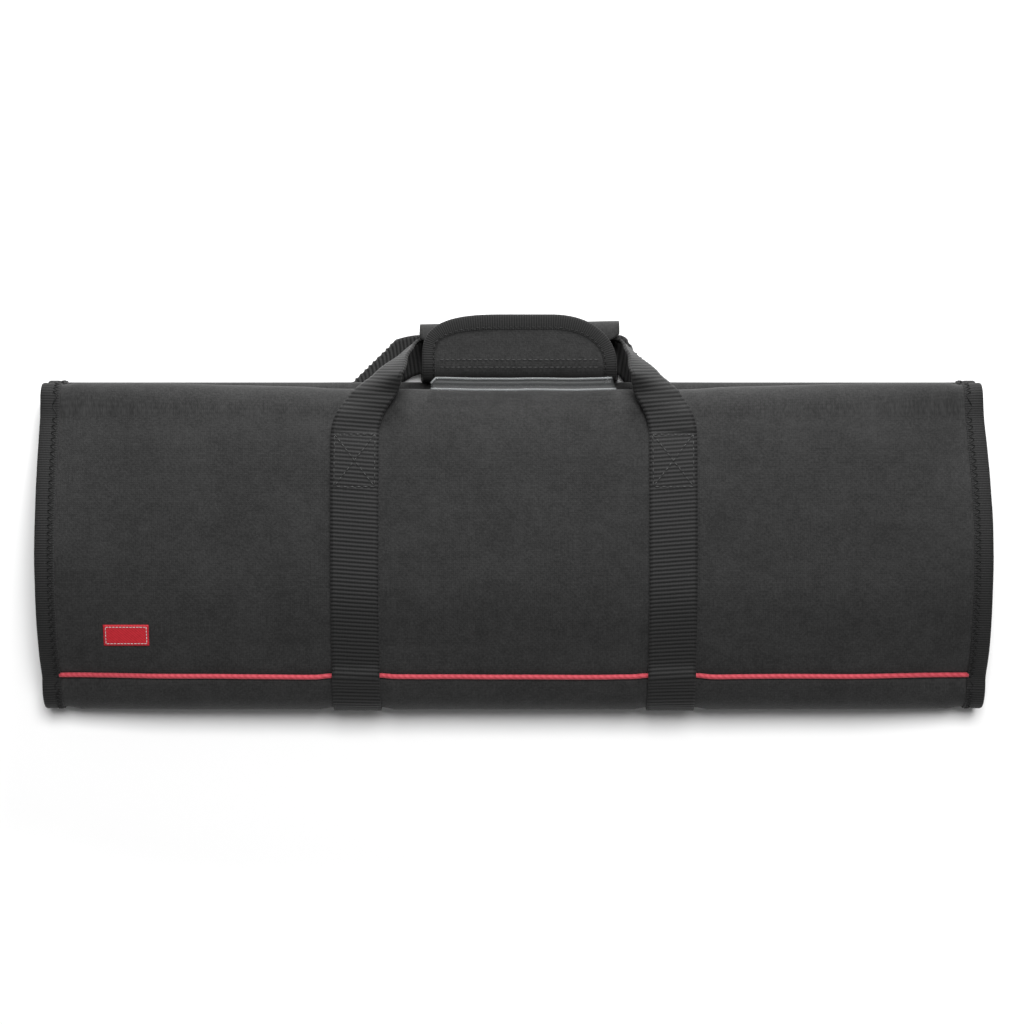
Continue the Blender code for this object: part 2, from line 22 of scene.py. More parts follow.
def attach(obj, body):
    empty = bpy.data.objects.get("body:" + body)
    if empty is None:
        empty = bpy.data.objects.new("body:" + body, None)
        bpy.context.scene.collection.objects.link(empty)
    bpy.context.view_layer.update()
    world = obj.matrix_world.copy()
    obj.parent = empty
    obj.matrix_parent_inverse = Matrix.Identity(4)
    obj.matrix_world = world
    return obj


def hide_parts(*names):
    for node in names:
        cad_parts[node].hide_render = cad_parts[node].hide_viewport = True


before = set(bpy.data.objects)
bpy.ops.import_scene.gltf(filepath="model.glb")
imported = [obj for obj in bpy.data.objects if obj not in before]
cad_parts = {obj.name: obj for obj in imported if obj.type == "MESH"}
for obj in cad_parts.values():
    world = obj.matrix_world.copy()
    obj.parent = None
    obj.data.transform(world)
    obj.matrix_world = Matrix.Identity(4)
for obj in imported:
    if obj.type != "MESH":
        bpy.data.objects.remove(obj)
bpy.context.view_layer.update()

LOG = logging.getLogger("knife_roll")
MM = 0.001
ROOT = "root"

# Blender's banded Wave texture repeats every pi / 10 units at a scale of 1
WAVE_PERIOD = math.pi / 10


# Small helpers

def hex_to_linear(code: str) -> tuple[float, float, float, float]:
    """Turns an sRGB hex colour into Blender's linear colour.

    Args:
        code: six hex digits after a hash sign.

    Returns:
        Linear red, green and blue, and an alpha of 1.
    """
    parts = [int(code[i:i + 2], 16) / 255 for i in (1, 3, 5)]
    return (*(p / 12.92 if p <= 0.04045 else ((p + 0.055) / 1.055) ** 2.4 for p in parts), 1.0)


def spread(start: float, end: float, count: int) -> list[float]:
    """Returns count + 1 numbers, evenly spaced from start to end."""
    return [start + (end - start) * i / count for i in range(count + 1)]


def ease(share: float) -> float:
    """Goes from 0 to 1 with no slope at either end."""
    share = min(1.0, max(0.0, share))
    return share * share * (3 - 2 * share)


def unevenness(x: float, y: float, size: float, seed: float) -> float:
    """Returns smooth noise from about -1 to 1, with bumps of the given size in metres."""
    return noise.noise(Vector((x / size, y / size, seed)))


def on_curve(points: Sequence[Vector], t: float) -> Vector:
    """Finds a point of a centripetal Catmull-Rom curve.

    Args:
        points: the curve's control points.
        t: the place on it, counted in control points.

    Returns:
        The point there.
    """
    i = min(int(t), len(points) - 2)
    before = points[i - 1] if i else points[0] * 2 - points[1]
    after = points[i + 2] if i + 2 < len(points) else points[-1] * 2 - points[-2]
    p = (before, points[i], points[i + 1], after)
    knots = [0.0]
    for a, b in zip(p, p[1:]):
        knots.append(knots[-1] + max(math.sqrt((b - a).length), 1e-6))
    at = knots[1] + (t - i) * (knots[2] - knots[1])
    first = [p[k].lerp(p[k + 1], (at - knots[k]) / (knots[k + 1] - knots[k])) for k in range(3)]
    second = [first[k].lerp(first[k + 1], (at - knots[k]) / (knots[k + 2] - knots[k])) for k in range(2)]
    return second[0].lerp(second[1], (at - knots[1]) / (knots[2] - knots[1]))


def lengths_along(points: Sequence[Vector]) -> list[float]:
    """Measures a line.

    Args:
        points: its points.

    Returns:
        Each point's distance from the first, along the line.
    """
    found = [0.0]
    for a, b in zip(points, points[1:]):
        found.append(found[-1] + (b - a).length)
    return found


def find_along(run: Sequence[float], want: float) -> tuple[int, float]:
    """Finds a length on a measured line.

    Args:
        run: each point's distance from the first.
        want: the length.

    Returns:
        The number of the point before it, and the share of the way from there to the next.
    """
    k = min(max(bisect.bisect_left(run, want) - 1, 0), len(run) - 2)
    return k, (min(max(want, 0.0), run[-1]) - run[k]) / max(run[k + 1] - run[k], 1e-9)


def even_steps(start: float, end: float, step: float, place: Callable[[float], Vector]) -> list[float]:
    """Picks places on a path that lie about the same distance apart.

    Args:
        start: the first place.
        end: the last place.
        step: the distance in metres to aim for.
        place: the path, from a place to its point.

    Returns:
        The places, with start and end among them.
    """
    fine = spread(start, end, 400)
    run = lengths_along([place(t) for t in fine])
    count = max(1, round(run[-1] / step))
    found = [start]
    for i in range(1, count):
        k, share = find_along(run, run[-1] * i / count)
        found.append(fine[k] + share * (fine[k + 1] - fine[k]))
    return found + [end]


def both_faces(upper: list[tuple[float, float]]) -> list[tuple[float, float]]:
    """Returns a folded tape's whole section from its upper half, the lower face first."""
    return [(inset, -off) for inset, off in reversed(upper)] + upper


# Making objects

def link(made: bpy.types.Object) -> bpy.types.Object:
    """Puts a new object in the scene and hands it back."""
    bpy.context.scene.collection.objects.link(made)
    return made


def grid_mesh(name: str, rows: Sequence[Sequence[Vector]], us: Sequence[float],
              vs: Sequence[float]) -> bpy.types.Mesh:
    """Makes an open cloth mesh and lays its UV map out in metres.

    Args:
        name: the mesh's name.
        rows: lists of points, one list for each row.
        us: each column's place across the cloth.
        vs: each row's place along the cloth.

    Returns:
        The mesh, with its normals to the side on which rows and columns turn right-handed.
    """
    along, across = len(rows) - 1, len(rows[0]) - 1
    shape = bmesh.new()
    bmesh.ops.create_grid(shape, x_segments=along, y_segments=across, size=0.5)
    layer = shape.loops.layers.uv.new("cloth")
    where = {}
    for vertex in shape.verts:
        row = round((vertex.co.x + 0.5) * along)
        column = round((vertex.co.y + 0.5) * across)
        where[vertex.index] = (us[column], vs[row])
        vertex.co = rows[row][column]
    for face in shape.faces:
        for loop in face.loops:
            loop[layer].uv = where[loop.vert.index]
    mesh = bpy.data.meshes.new(name)
    shape.to_mesh(mesh)
    shape.free()
    mesh.shade_smooth()
    return mesh


def add_wall(made: bpy.types.Object, thickness: float, group: str = "") -> None:
    """Gives an open cloth its thickness on both sides.

    Args:
        made: the object.
        thickness: how thick the cloth is.
        group: a vertex group that thins it, if any.
    """
    wall = made.modifiers.new("wall", "SOLIDIFY")
    wall.thickness = thickness
    wall.offset = 0.0
    wall.use_even_offset = True
    wall.use_quality_normals = True
    if group:
        wall.vertex_group = group
        wall.thickness_vertex_group = 0.0


def cloth(name: str, rows: Sequence[Sequence[Vector]], us: Sequence[float], vs: Sequence[float],
          thickness: float) -> bpy.types.Object:
    """Makes a cloth piece from its middle surface.

    Args:
        name: the piece's name.
        rows: lists of points, one list for each row.
        us: each column's place across the cloth, in metres.
        vs: each row's place along the cloth, in metres.
        thickness: how thick the cloth is.

    Returns:
        The piece.
    """
    made = link(bpy.data.objects.new(name, grid_mesh(name, rows, us, vs)))
    add_wall(made, thickness)
    return made


def cord(name: str, lines: Iterable[Sequence[Vector]], diameter: float, sides: int = 2,
         taper: float = 1.0) -> bpy.types.Object:
    """Makes round cord or thread along one or more lines, as one mesh piece.

    Args:
        name: the piece's name.
        lines: lists of points, one list for each cord.
        diameter: how thick the cord is.
        sides: Blender's bevel resolution, from 0.
        taper: the ends' share of the diameter.

    Returns:
        The piece.
    """
    curve = bpy.data.curves.new(name, "CURVE")
    curve.dimensions = "3D"
    curve.bevel_depth = diameter / 2
    curve.bevel_resolution = sides
    curve.use_fill_caps = True
    for points in lines:
        spline = curve.splines.new("POLY")
        spline.points.add(len(points) - 1)
        for knot, place in zip(spline.points, points):
            knot.co = (*place, 1.0)
        spline.points[0].radius = taper
        spline.points[-1].radius = taper
    carrier = bpy.data.objects.new(name + "_line", curve)
    link(carrier)
    mesh = bpy.data.meshes.new_from_object(carrier.evaluated_get(bpy.context.evaluated_depsgraph_get()))
    bpy.data.objects.remove(carrier)
    bpy.data.curves.remove(curve)
    mesh.name = name
    shape = bmesh.new()
    shape.from_mesh(mesh)
    bmesh.ops.remove_doubles(shape, verts=shape.verts, dist=1e-6)
    bmesh.ops.recalc_face_normals(shape, faces=shape.faces)
    shape.to_mesh(mesh)
    shape.free()
    mesh.shade_smooth()
    return link(bpy.data.objects.new(name, mesh))


# Finishes

def add_node(tree: bpy.types.NodeTree, kind: str, links: dict | None = None, **settings) -> bpy.types.Node:
    """Adds one node.

    Args:
        tree: the node tree that gets it.
        kind: the node's type, without ShaderNode in front.
        links: an input's name or number, and the socket or the value that it takes.
        settings: attributes of the node itself.

    Returns:
        The node.
    """
    node = tree.nodes.new("ShaderNode" + kind)
    for name, value in settings.items():
        setattr(node, name, value)
    for name, value in (links or {}).items():
        if isinstance(value, bpy.types.NodeSocket):
            tree.links.new(value, node.inputs[name])
        else:
            node.inputs[name].default_value = value
    return node


@dataclass(frozen=True)
class Pattern:
    """A material under way: its nodes, its shader and the coordinates that its pattern is drawn in."""

    tree: bpy.types.NodeTree
    shader: bpy.types.Node
    place: bpy.types.NodeSocket

    def bands(self, pitch: float, way: str, wander: float, fineness: float = 2.0) -> bpy.types.NodeSocket:
        """Draws soft stripes.

        Args:
            pitch: the distance from one stripe to the next.
            way: X, Y or DIAGONAL, the direction across them.
            wander: how far they stray.
            fineness: how finely they stray.

        Returns:
            The stripes' value.
        """
        return add_node(self.tree, "TexWave", {
            "Vector": self.place, "Scale": WAVE_PERIOD / pitch, "Distortion": wander,
            "Detail": 1.0, "Detail Scale": fineness,
        }, bands_direction=way).outputs["Fac"]

    def spots(self, size: float, detail: float = 2.0, rough: float = 0.6) -> bpy.types.NodeSocket:
        """Draws soft spots.

        Args:
            size: their size.
            detail: how many finer layers they have.
            rough: how strong each finer layer is.

        Returns:
            The spots' value.
        """
        return add_node(self.tree, "TexNoise", {
            "Vector": self.place, "Scale": 1 / size, "Detail": detail, "Roughness": rough,
        }).outputs["Fac"]

    def add(self, part: bpy.types.NodeSocket, share: float | bpy.types.NodeSocket,
            rest: float | bpy.types.NodeSocket = 0.0) -> bpy.types.NodeSocket:
        """Returns the rest with a share of one part added to it."""
        values = {0: part, 1: share, 2: rest}
        return add_node(self.tree, "Math", values, operation="MULTIPLY_ADD").outputs[0]

    def paint(self, tone: bpy.types.NodeSocket, low: float, high: float, dark: str, light: str) -> None:
        """Colours the surface by a tone.

        Args:
            tone: the tone's value.
            low: the value that is fully dark.
            high: the value that is fully light.
            dark: the dark colour.
            light: the light colour.
        """
        ramp = add_node(self.tree, "MapRange", {"Value": tone, "From Min": low, "From Max": high})
        colour = add_node(self.tree, "Mix", {
            "Factor": ramp.outputs[0], "A": hex_to_linear(dark), "B": hex_to_linear(light),
        }, data_type="RGBA")
        self.tree.links.new(colour.outputs["Result"], self.shader.inputs["Base Color"])

    def emboss(self, height: bpy.types.NodeSocket, relief: float, strength: float) -> None:
        """Gives the surface a relief.

        Args:
            height: the relief's value.
            relief: how high a value of 1 stands.
            strength: how much of it shows.
        """
        bump = add_node(self.tree, "Bump", {"Height": height, "Distance": relief, "Strength": strength})
        self.tree.links.new(bump.outputs["Normal"], self.shader.inputs["Normal"])


@dataclass(frozen=True)
class Finish:
    """What every finish has: its name, its slot in the record, which is not used, and its shader's fixed
    values.
    """

    coordinates: ClassVar[str] = "Object"

    name: str
    slot: str
    roughness: float
    ior: float = 1.5
    sheen: float = 0.0
    mirror: float = 0.5

    def material(self) -> bpy.types.Material:
        """Makes the finish's material, once.

        Returns:
            The material.
        """
        found = bpy.data.materials.get(self.name)
        if found:
            return found
        made = bpy.data.materials.new(self.name)
        made.use_nodes = True
        tree = made.node_tree
        shader = tree.nodes["Principled BSDF"]
        fixed = {
            "Roughness": self.roughness, "IOR": self.ior, "Metallic": 0.0,
            "Specular IOR Level": self.mirror, "Sheen Weight": self.sheen, "Sheen Roughness": 0.5,
        }
        for name, value in fixed.items():
            shader.inputs[name].default_value = value
        self.draw(Pattern(tree, shader, add_node(tree, "TexCoord").outputs[self.coordinates]))
        return made

    def draw(self, pattern: Pattern) -> None:
        """Draws the finish's own pattern. A plain finish has none."""

    def dress(self, piece: bpy.types.Object, *nodes: str) -> bpy.types.Object:
        """Puts the finish on a piece, hangs it under the root, hides the CAD nodes that it stands for and
        logs it.

        Args:
            piece: the piece.
            nodes: the CAD nodes that it stands for.

        Returns:
            The piece.
        """
        piece.data.materials.clear()
        piece.data.materials.append(self.material())
        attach(piece, ROOT)
        if nodes:
            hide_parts(*nodes)
        LOG.info("%s in %s", piece.name, self.name)
        return piece


@dataclass(frozen=True)
class WovenNylon(Finish):
    """Coarse plain-woven nylon: over and under threads give a fine, slightly flecked grain.

    The real threads are about 0.5 mm apart, too fine to show, so they are drawn about 1 mm apart.
    """

    coordinates: ClassVar[str] = "UV"

    thread: float = 1.05 * MM
    fleck: float = 1.2 * MM
    patch: float = 5 * MM
    cloud: float = 26 * MM
    weave_share: float = 0.25
    fleck_share: float = 1.7
    patch_share: float = 0.8
    cloud_share: float = 0.7
    dark: str = "#202020"
    light: str = "#313131"
    relief: float = 0.16 * MM

    def draw(self, pattern: Pattern) -> None:
        """Draws the weave, its flecks, small worn patches and faint clouds."""
        over, under = (pattern.bands(self.thread, way, wander=1.1, fineness=1.4) for way in ("X", "Y"))
        flecks = pattern.add(pattern.spots(self.fleck), self.fleck_share)
        grain = pattern.add(pattern.add(over, under), self.weave_share, flecks)
        worn = pattern.add(pattern.spots(self.patch), self.patch_share, grain)
        tone = pattern.add(pattern.spots(self.cloud, detail=3.0, rough=0.55), self.cloud_share, worn)
        pattern.paint(tone, 1.32, 2.12, self.dark, self.light)
        pattern.emboss(grain, self.relief, 0.8)


@dataclass(frozen=True)
class RibbedWeave(Finish):
    """Ribs across a woven band: the weft lies in rows, with painted shade darkening the grooves between
    them.

    On the webbing the rows are also in the mesh. On the binding tape they are 1.3 mm apart.
    """

    coordinates: ClassVar[str] = "UV"

    rib: float = 2.1 * MM
    yarn: float = 0.8 * MM
    fuzz: float = 1.2 * MM
    # The groove colour is painted shade between the ribs; the crest colour is the rib's own.
    groove: str = "#0e0e0e"
    crest: str = "#2b2b2b"
    relief: float = 0.12 * MM

    def draw(self, pattern: Pattern) -> None:
        """Draws the ribs with painted shade in their grooves, the yarns in them and a little unevenness.
        """
        ribs = pattern.bands(self.rib, "Y", wander=0.4)
        height = pattern.add(pattern.bands(self.yarn, "X", wander=1.5), 0.25, ribs)
        tone = pattern.add(pattern.spots(self.fuzz), 0.6, height)
        # The rib bands paint the grooves darker as shade; the yarns and the fuzz are the band's own uneven
        # tone.
        pattern.paint(tone, 0.35, 1.45, self.groove, self.crest)
        pattern.emboss(tone, self.relief, 0.8)


@dataclass(frozen=True)
class PipingCover(Finish):
    """Woven tape wound tightly over a cord: a bright band with a fine twill along it.

    The real twill is about 1 mm wide and is drawn 1.7 mm wide, the finest that shows.
    """

    twill: float = 1.7 * MM
    fuzz: float = 1.6 * MM
    dark: str = "#a4323d"
    light: str = "#c04955"
    relief: float = 0.05 * MM

    def draw(self, pattern: Pattern) -> None:
        """Draws the twill, which slants across the cord."""
        twill = pattern.bands(self.twill, "DIAGONAL", wander=0.8)
        tone = pattern.add(twill, 0.7, pattern.spots(self.fuzz))
        pattern.paint(tone, 0.3, 1.25, self.dark, self.light)
        pattern.emboss(tone, self.relief, 0.7)


@dataclass(frozen=True)
class SpunThread(Finish):
    """Twisted polyester thread: dark, with a short dull sheen that changes along it, painted into its
    colour as lighter patches.
    """

    yarn: float = 1.0 * MM
    colour: str = "#1b1b1b"
    # The lighter colour is a painted highlight: the yarn's sheen laid into its colour.
    painted_shine: str = "#343434"

    def draw(self, pattern: Pattern) -> None:
        """Paints the twisted yarn's sheen as lighter patches at random along it."""
        # Paints the sheen as lighter patches at random along the thread.
        pattern.paint(pattern.spots(self.yarn, detail=1.0, rough=0.5), 0.0, 1.0, self.colour, self.painted_shine)


@dataclass(frozen=True)
class ClearVinyl(Finish):
    """Soft clear PVC film, calendered: see-through, with a dull gloss and a little milky haze."""

    haze: str = "#8b8e8f"
    cover: float = 0.05
    wave: float = 9 * MM
    relief: float = 0.03 * MM

    def draw(self, pattern: Pattern) -> None:
        """Sets the haze and how much it covers, and draws the film's slow waves."""
        pattern.shader.inputs["Base Color"].default_value = hex_to_linear(self.haze)
        pattern.shader.inputs["Alpha"].default_value = self.cover
        pattern.emboss(pattern.spots(self.wave, detail=1.0, rough=0.5), self.relief, 0.4)


@dataclass(frozen=True)
class StudioPaper(Finish):
    """Matt white background paper: it lights up fully and keeps only soft shadows."""

    colour: str = "#f4f4f4"
    tooth: float = 4 * MM
    relief: float = 0.02 * MM

    def draw(self, pattern: Pattern) -> None:
        """Sets the colour and draws the paper's faint tooth."""
        pattern.shader.inputs["Base Color"].default_value = hex_to_linear(self.colour)
        pattern.emboss(pattern.spots(self.tooth, rough=0.5), self.relief, 0.2)


SHELL = WovenNylon("woven_nylon_shell", "black_fabric", 0.75, sheen=0.08, mirror=0.12)
# On the tape and the webbing the groove colour is painted shade between the ribs.
TAPE = RibbedWeave(
    "ribbed_polyester_tape", "black_tape", 0.72, sheen=0.05, mirror=0.12,
    rib=1.3 * MM, groove="#141414",
)
WEBBING = RibbedWeave("ribbed_nylon_webbing", "black_webbing", 0.62, sheen=0.05, mirror=0.15)
PIPING = PipingCover("twill_piping_cover", "red_piping", 0.62, sheen=0.1, mirror=0.25)
# The threads' lighter colours are painted highlights along the yarn.
THREAD = SpunThread("twisted_polyester_thread", "black_tape", 0.5, mirror=0.4)
DARK_THREAD = SpunThread(
    "dark_polyester_thread", "black_tape", 0.55, mirror=0.3, colour="#080808", painted_shine="#161616",
)
LABEL = PipingCover(
    "woven_label", "red_label", 0.6, mirror=0.3, twill=0.9 * MM, dark="#98141f", light="#b8222e",
)
LABEL_BORDER = SpunThread("label_border_thread", "red_label", 0.5, colour="#8d8d8d", painted_shine="#c8c8c8")
VINYL = ClearVinyl("clear_pvc_film", "clear_vinyl", 0.25, 1.53)
VINYL_BEAD = ClearVinyl(
    "welded_pvc_bead", "clear_vinyl", 0.35, 1.53, mirror=0.25, haze="#8d9091", cover=0.45,
)
PAPER = StudioPaper("white_background_paper", "", 0.9)


# The folded sheet

class Layer(NamedTuple):
    """How the free thickness is shared at one place up the roll, and the front's extra fill."""

    place: float
    rear_lobe: float
    slit: float
    front_lobe: float
    fill: float


LAYERS = (
    Layer(-0.62, 0.326, 0.197, 0.134, 0.12),
    Layer(-0.30, 0.362, 0.214, 0.351, 0.04),
    Layer(0.00, 0.362, 0.219, 0.419, 0.0),
    Layer(0.30, 0.326, 0.205, 0.367, 0.08),
    Layer(0.60, 0.263, 0.112, 0.310, 0.22),
    Layer(0.80, 0.189, 0.030, 0.293, 0.26),
)
FOLD_ANGLES = tuple(math.radians(a) for a in (-70, -35, 0, 35, 70))
COLUMN_SAMPLES = 12


class Line(NamedTuple):
    """The sheet's middle line at one place along the roll, with its outward normals."""

    points: list[Vector]
    normals: list[Vector]


@dataclass(frozen=True)
class RollShape:
    """The closed roll's sizes, and where every point of its folded sheet lies."""

    width: float = 500 * MM
    height: float = 174 * MM
    middle_thickness: float = 52 * MM
    end_thickness: float = 47.5 * MM
    wall: float = 2 * MM
    bottom_fold_share: float = 0.53
    bottom_fill: float = 0.20
    fill_reach: float = 70 * MM
    fold_depth_share: float = 1.2
    front_fold_drop: float = 4.5 * MM
    rear_rise: float = 1.0 * MM
    gap: float = 0.3 * MM
    tape: float = 0.8 * MM
    tape_cover: float = 10 * MM
    seam_rise: float = 19 * MM
    strap_x: float = 83 * MM
    webbing: float = 1.5 * MM
    webbing_width: float = 25 * MM
    room_inward: float = 14 * MM
    room_outward: float = 1.5 * MM
    room_slope: float = 8 * MM
    puff: float = 0.5 * MM
    puff_size: float = 46 * MM
    small_puff_size: float = 19 * MM
    small_puff_share: float = 0.4
    still_end: float = 30 * MM
    strap_dent: float = 0.5 * MM
    strap_dent_reach: float = 14 * MM
    bottom_dent: float = 1.3 * MM
    bottom_dent_reach: float = 8 * MM
    shoulder: float = 0.9 * MM
    shoulder_place: float = 0.787
    shoulder_full_share: float = 0.6
    shoulder_rise: float = 20 * MM
    shoulder_fall: float = 7 * MM
    corner_pull: float = 2.3 * MM
    corner_reach: float = 60 * MM
    corner_from: float = 5 * MM

    @property
    def half(self) -> float:
        """Half the roll's height."""
        return self.height / 2

    @property
    def tape_stack(self) -> float:
        """The tape's thickness with the gap under it."""
        return self.tape + self.gap

    @property
    def front_fold(self) -> int:
        """Where the front fold starts on the path."""
        return len(LAYERS) - 1

    @property
    def front_outer(self) -> int:
        """Where the front's outer face starts."""
        return self.front_fold + len(FOLD_ANGLES) + 1

    @property
    def bottom_fold(self) -> int:
        """Where the bottom fold starts."""
        return self.front_outer + len(LAYERS)

    @property
    def back(self) -> int:
        """Where the back starts."""
        return self.bottom_fold + len(FOLD_ANGLES) + 1

    @property
    def rear_fold(self) -> int:
        """Where the rear fold starts."""
        return self.back + 2

    @property
    def back_inner(self) -> int:
        """Where the back's inner face starts."""
        return self.rear_fold + len(FOLD_ANGLES) + 1

    @property
    def end(self) -> int:
        """Where the path ends."""
        return self.back_inner + len(LAYERS) - 1

    def swell(self, x: float) -> float:
        """Returns 1 in the roll's middle and 0 at its ends."""
        return math.cos(math.pi * min(abs(x) / self.width, 0.5)) ** 2

    def fullness(self, x: float) -> float:
        """Returns 1 along the filled part of the roll and 0 at its flat ends."""
        return ease((self.width / 2 - abs(x)) / self.fill_reach)

    def tape_room(self, x: float) -> float:
        """Returns how far the sheet keeps in to leave room for the end tape."""
        tape_from = self.width / 2 - self.tape_cover - self.room_outward
        return self.tape_stack * (1 - ease((tape_from - abs(x)) / self.room_slope))

    def room_under(self, x: float) -> float:
        """Finds how far the strap or tape beneath lifts the back.

        Args:
            x: the place along the roll.

        Returns:
            The lift.
        """
        inner = self.strap_x - self.webbing_width / 2 - self.room_inward
        outer = self.strap_x + self.webbing_width / 2 + self.room_outward
        beside = max(inner - abs(x), abs(x) - outer, 0.0)
        return max((self.webbing + self.gap) * (1 - ease(beside / self.room_slope)), self.tape_room(x))

    def ridge(self, x: float) -> float:
        """Returns how far the rear and bottom folds reach."""
        return self.half - self.wall / 2 - self.tape_room(x)

    def fold(self, start: Vector, end: Vector, tip: float) -> list[Vector]:
        """Makes the control points of a soft fold.

        Args:
            start: where the fold starts.
            end: where it ends.
            tip: how far along Y it reaches.

        Returns:
            The points between start and end.
        """
        middle, half = (start.z + end.z) / 2, (end.z - start.z) / 2
        depth = math.copysign(self.fold_depth_share * abs(half), tip)
        return [
            Vector((start.x, tip - depth + depth * math.cos(a), middle + half * math.sin(a)))
            for a in FOLD_ANGLES
        ]

    def controls(self, x: float) -> list[Vector]:
        """Makes the control points of the sheet's middle line.

        Args:
            x: the place along the roll.

        Returns:
            The points, from the front's inner end round to the back's inner end.
        """
        thickness = self.end_thickness + (self.middle_thickness - self.end_thickness) * self.swell(x)
        stack = self.wall + 2 * self.tape_stack + self.gap
        free = thickness - self.wall - 3 * stack
        back_inner, front_inner, front = [], [], []
        full = self.fullness(x)
        for row in LAYERS:
            y = row.place * self.half
            z = self.wall / 2 + stack + row.rear_lobe * free
            back_inner.append(Vector((x, y, z)))
            z += stack + row.slit * free
            front_inner.append(Vector((x, y, z)))
            z += stack + (row.front_lobe + row.fill * full) * free
            front.append(Vector((x, y, z)))
        fold_y = LAYERS[-1].place * self.half
        bottom = self.bottom_fold_share + self.bottom_fill * full
        front.insert(0, Vector((x, -fold_y, bottom * thickness)))
        floor = self.wall / 2 + self.room_under(x)
        back = [Vector((x, y, floor)) for y in (-fold_y, 0.0, fold_y)]
        front.reverse()
        back_inner.reverse()
        return (
            front_inner
            + self.fold(front_inner[-1], front[0], self.ridge(x) - self.front_fold_drop * self.swell(x))
            + front
            + self.fold(front[-1], back[0], -self.ridge(x))
            + back
            + self.fold(back[-1], back_inner[0], self.half - self.wall / 2 + self.rear_rise)
            + back_inner
        )

    @functools.lru_cache(maxsize=None)
    def line(self, x: float) -> Line:
        """Samples the sheet's middle line.

        Args:
            x: the place along the roll.

        Returns:
            The line, which nowhere sinks below the floor or what lies beneath it.
        """
        controls = self.controls(x)
        floor = self.wall / 2 + self.room_under(x)
        points = []
        for i in range(self.end * COLUMN_SAMPLES + 1):
            place = on_curve(controls, i / COLUMN_SAMPLES)
            place.z = max(place.z, floor)
            points.append(place)
        normals = []
        for i in range(len(points)):
            ahead = points[min(i + 1, len(points) - 1)] - points[max(i - 1, 0)]
            normals.append(Vector((0, ahead.z, -ahead.y)).normalized())
        return Line(points, normals)

    def softness(self, x: float, t: float, y: float) -> float:
        """Returns how far the cloth stands off its plain form: clouds of padding and pressed places.

        Args:
            x: the place along the roll.
            t: the place on the path.
            y: the point's Y.

        Returns:
            The distance outward.
        """
        if not self.front_fold - 1 < t < self.back + 1:
            return 0.0
        front = ease((t - self.front_fold + 1) / 3) * (1 - ease((t - self.bottom_fold) / 3))
        beside = max(abs(abs(x) - self.strap_x) - self.webbing_width / 2, 0.0)
        under_strap = 1 - ease(beside / self.strap_dent_reach)
        small = self.small_puff_share * unevenness(x, y, self.small_puff_size, 5.1)
        clouds = self.puff * (unevenness(x, y, self.puff_size, 1.7) + small)
        keep = ease((self.width / 2 - abs(x)) / self.still_end)
        past = y - self.shoulder_place * self.half
        top = self.shoulder * ease(1 - max(past / self.shoulder_fall, -past / self.shoulder_rise))
        top *= (1 - under_strap) * (1 + (self.shoulder_full_share - 1) * self.fullness(x))
        pressed = ease((t - self.bottom_fold + 2) / 1.5) * (1 - ease((t - self.back + 1) / 1.5))
        bottom = self.bottom_dent * pressed * (1 - ease(beside / self.bottom_dent_reach))
        return front * ((clouds + top) * keep - self.strap_dent * under_strap) - bottom

    def place(self, x: float, t: float, outward: float = 0.0) -> Vector:
        """Finds a point on or off the folded sheet.

        Args:
            x: the place along the roll.
            t: the place on the path.
            outward: the distance off the middle line towards the sheet's outer face.

        Returns:
            The point.
        """
        line = self.line(round(x, 5))
        at = min(max(t, 0.0), self.end) * COLUMN_SAMPLES
        i = min(int(at), len(line.points) - 2)
        point = line.points[i].lerp(line.points[i + 1], at - i)
        normal = line.normals[i].lerp(line.normals[i + 1], at - i).normalized()
        found = point + normal * (outward + self.softness(x, t, point.y))
        found.x = x - self.pull(x, found.y)
        return found

    def pull(self, x: float, y: float) -> float:
        """Returns how far the right end's upper corner is drawn in."""
        near_end = ease((x - self.width / 2 + self.corner_reach) / self.corner_reach)
        return self.corner_pull * near_end * ease((y - self.corner_from) / (self.half - self.corner_from))

    def normal(self, x: float, t: float) -> Vector:
        """Returns the outward normal of the sheet."""
        return (self.place(x, t, MM) - self.place(x, t)).normalized()

    @functools.lru_cache(maxsize=None)
    def t_where(self, y: float, start: float, end: float) -> float:
        """Finds where the path crosses a line across the roll, by halving.

        Args:
            y: the line.
            start: a place on the path before it.
            end: a place after it.

        Returns:
            The place on the path.
        """
        rising = self.place(0.0, end).y > self.place(0.0, start).y
        for _ in range(40):
            middle = (start + end) / 2
            if (self.place(0.0, middle).y < y) == rising:
                start = middle
            else:
                end = middle
        return (start + end) / 2

    def t_front(self, y: float) -> float:
        """Finds y on the front's outer face."""
        return self.t_where(y, self.front_outer - 1, self.bottom_fold)

    @property
    def seam(self) -> float:
        """Where the piped seam lies on the path."""
        return self.t_where(self.seam_rise - self.half, self.bottom_fold - 2, self.bottom_fold + 1)


ROLL = RollShape()


class Panel(Enum):
    """The two panels of the sheet."""

    FRONT = "front_panel"
    BACK = "back_panel"


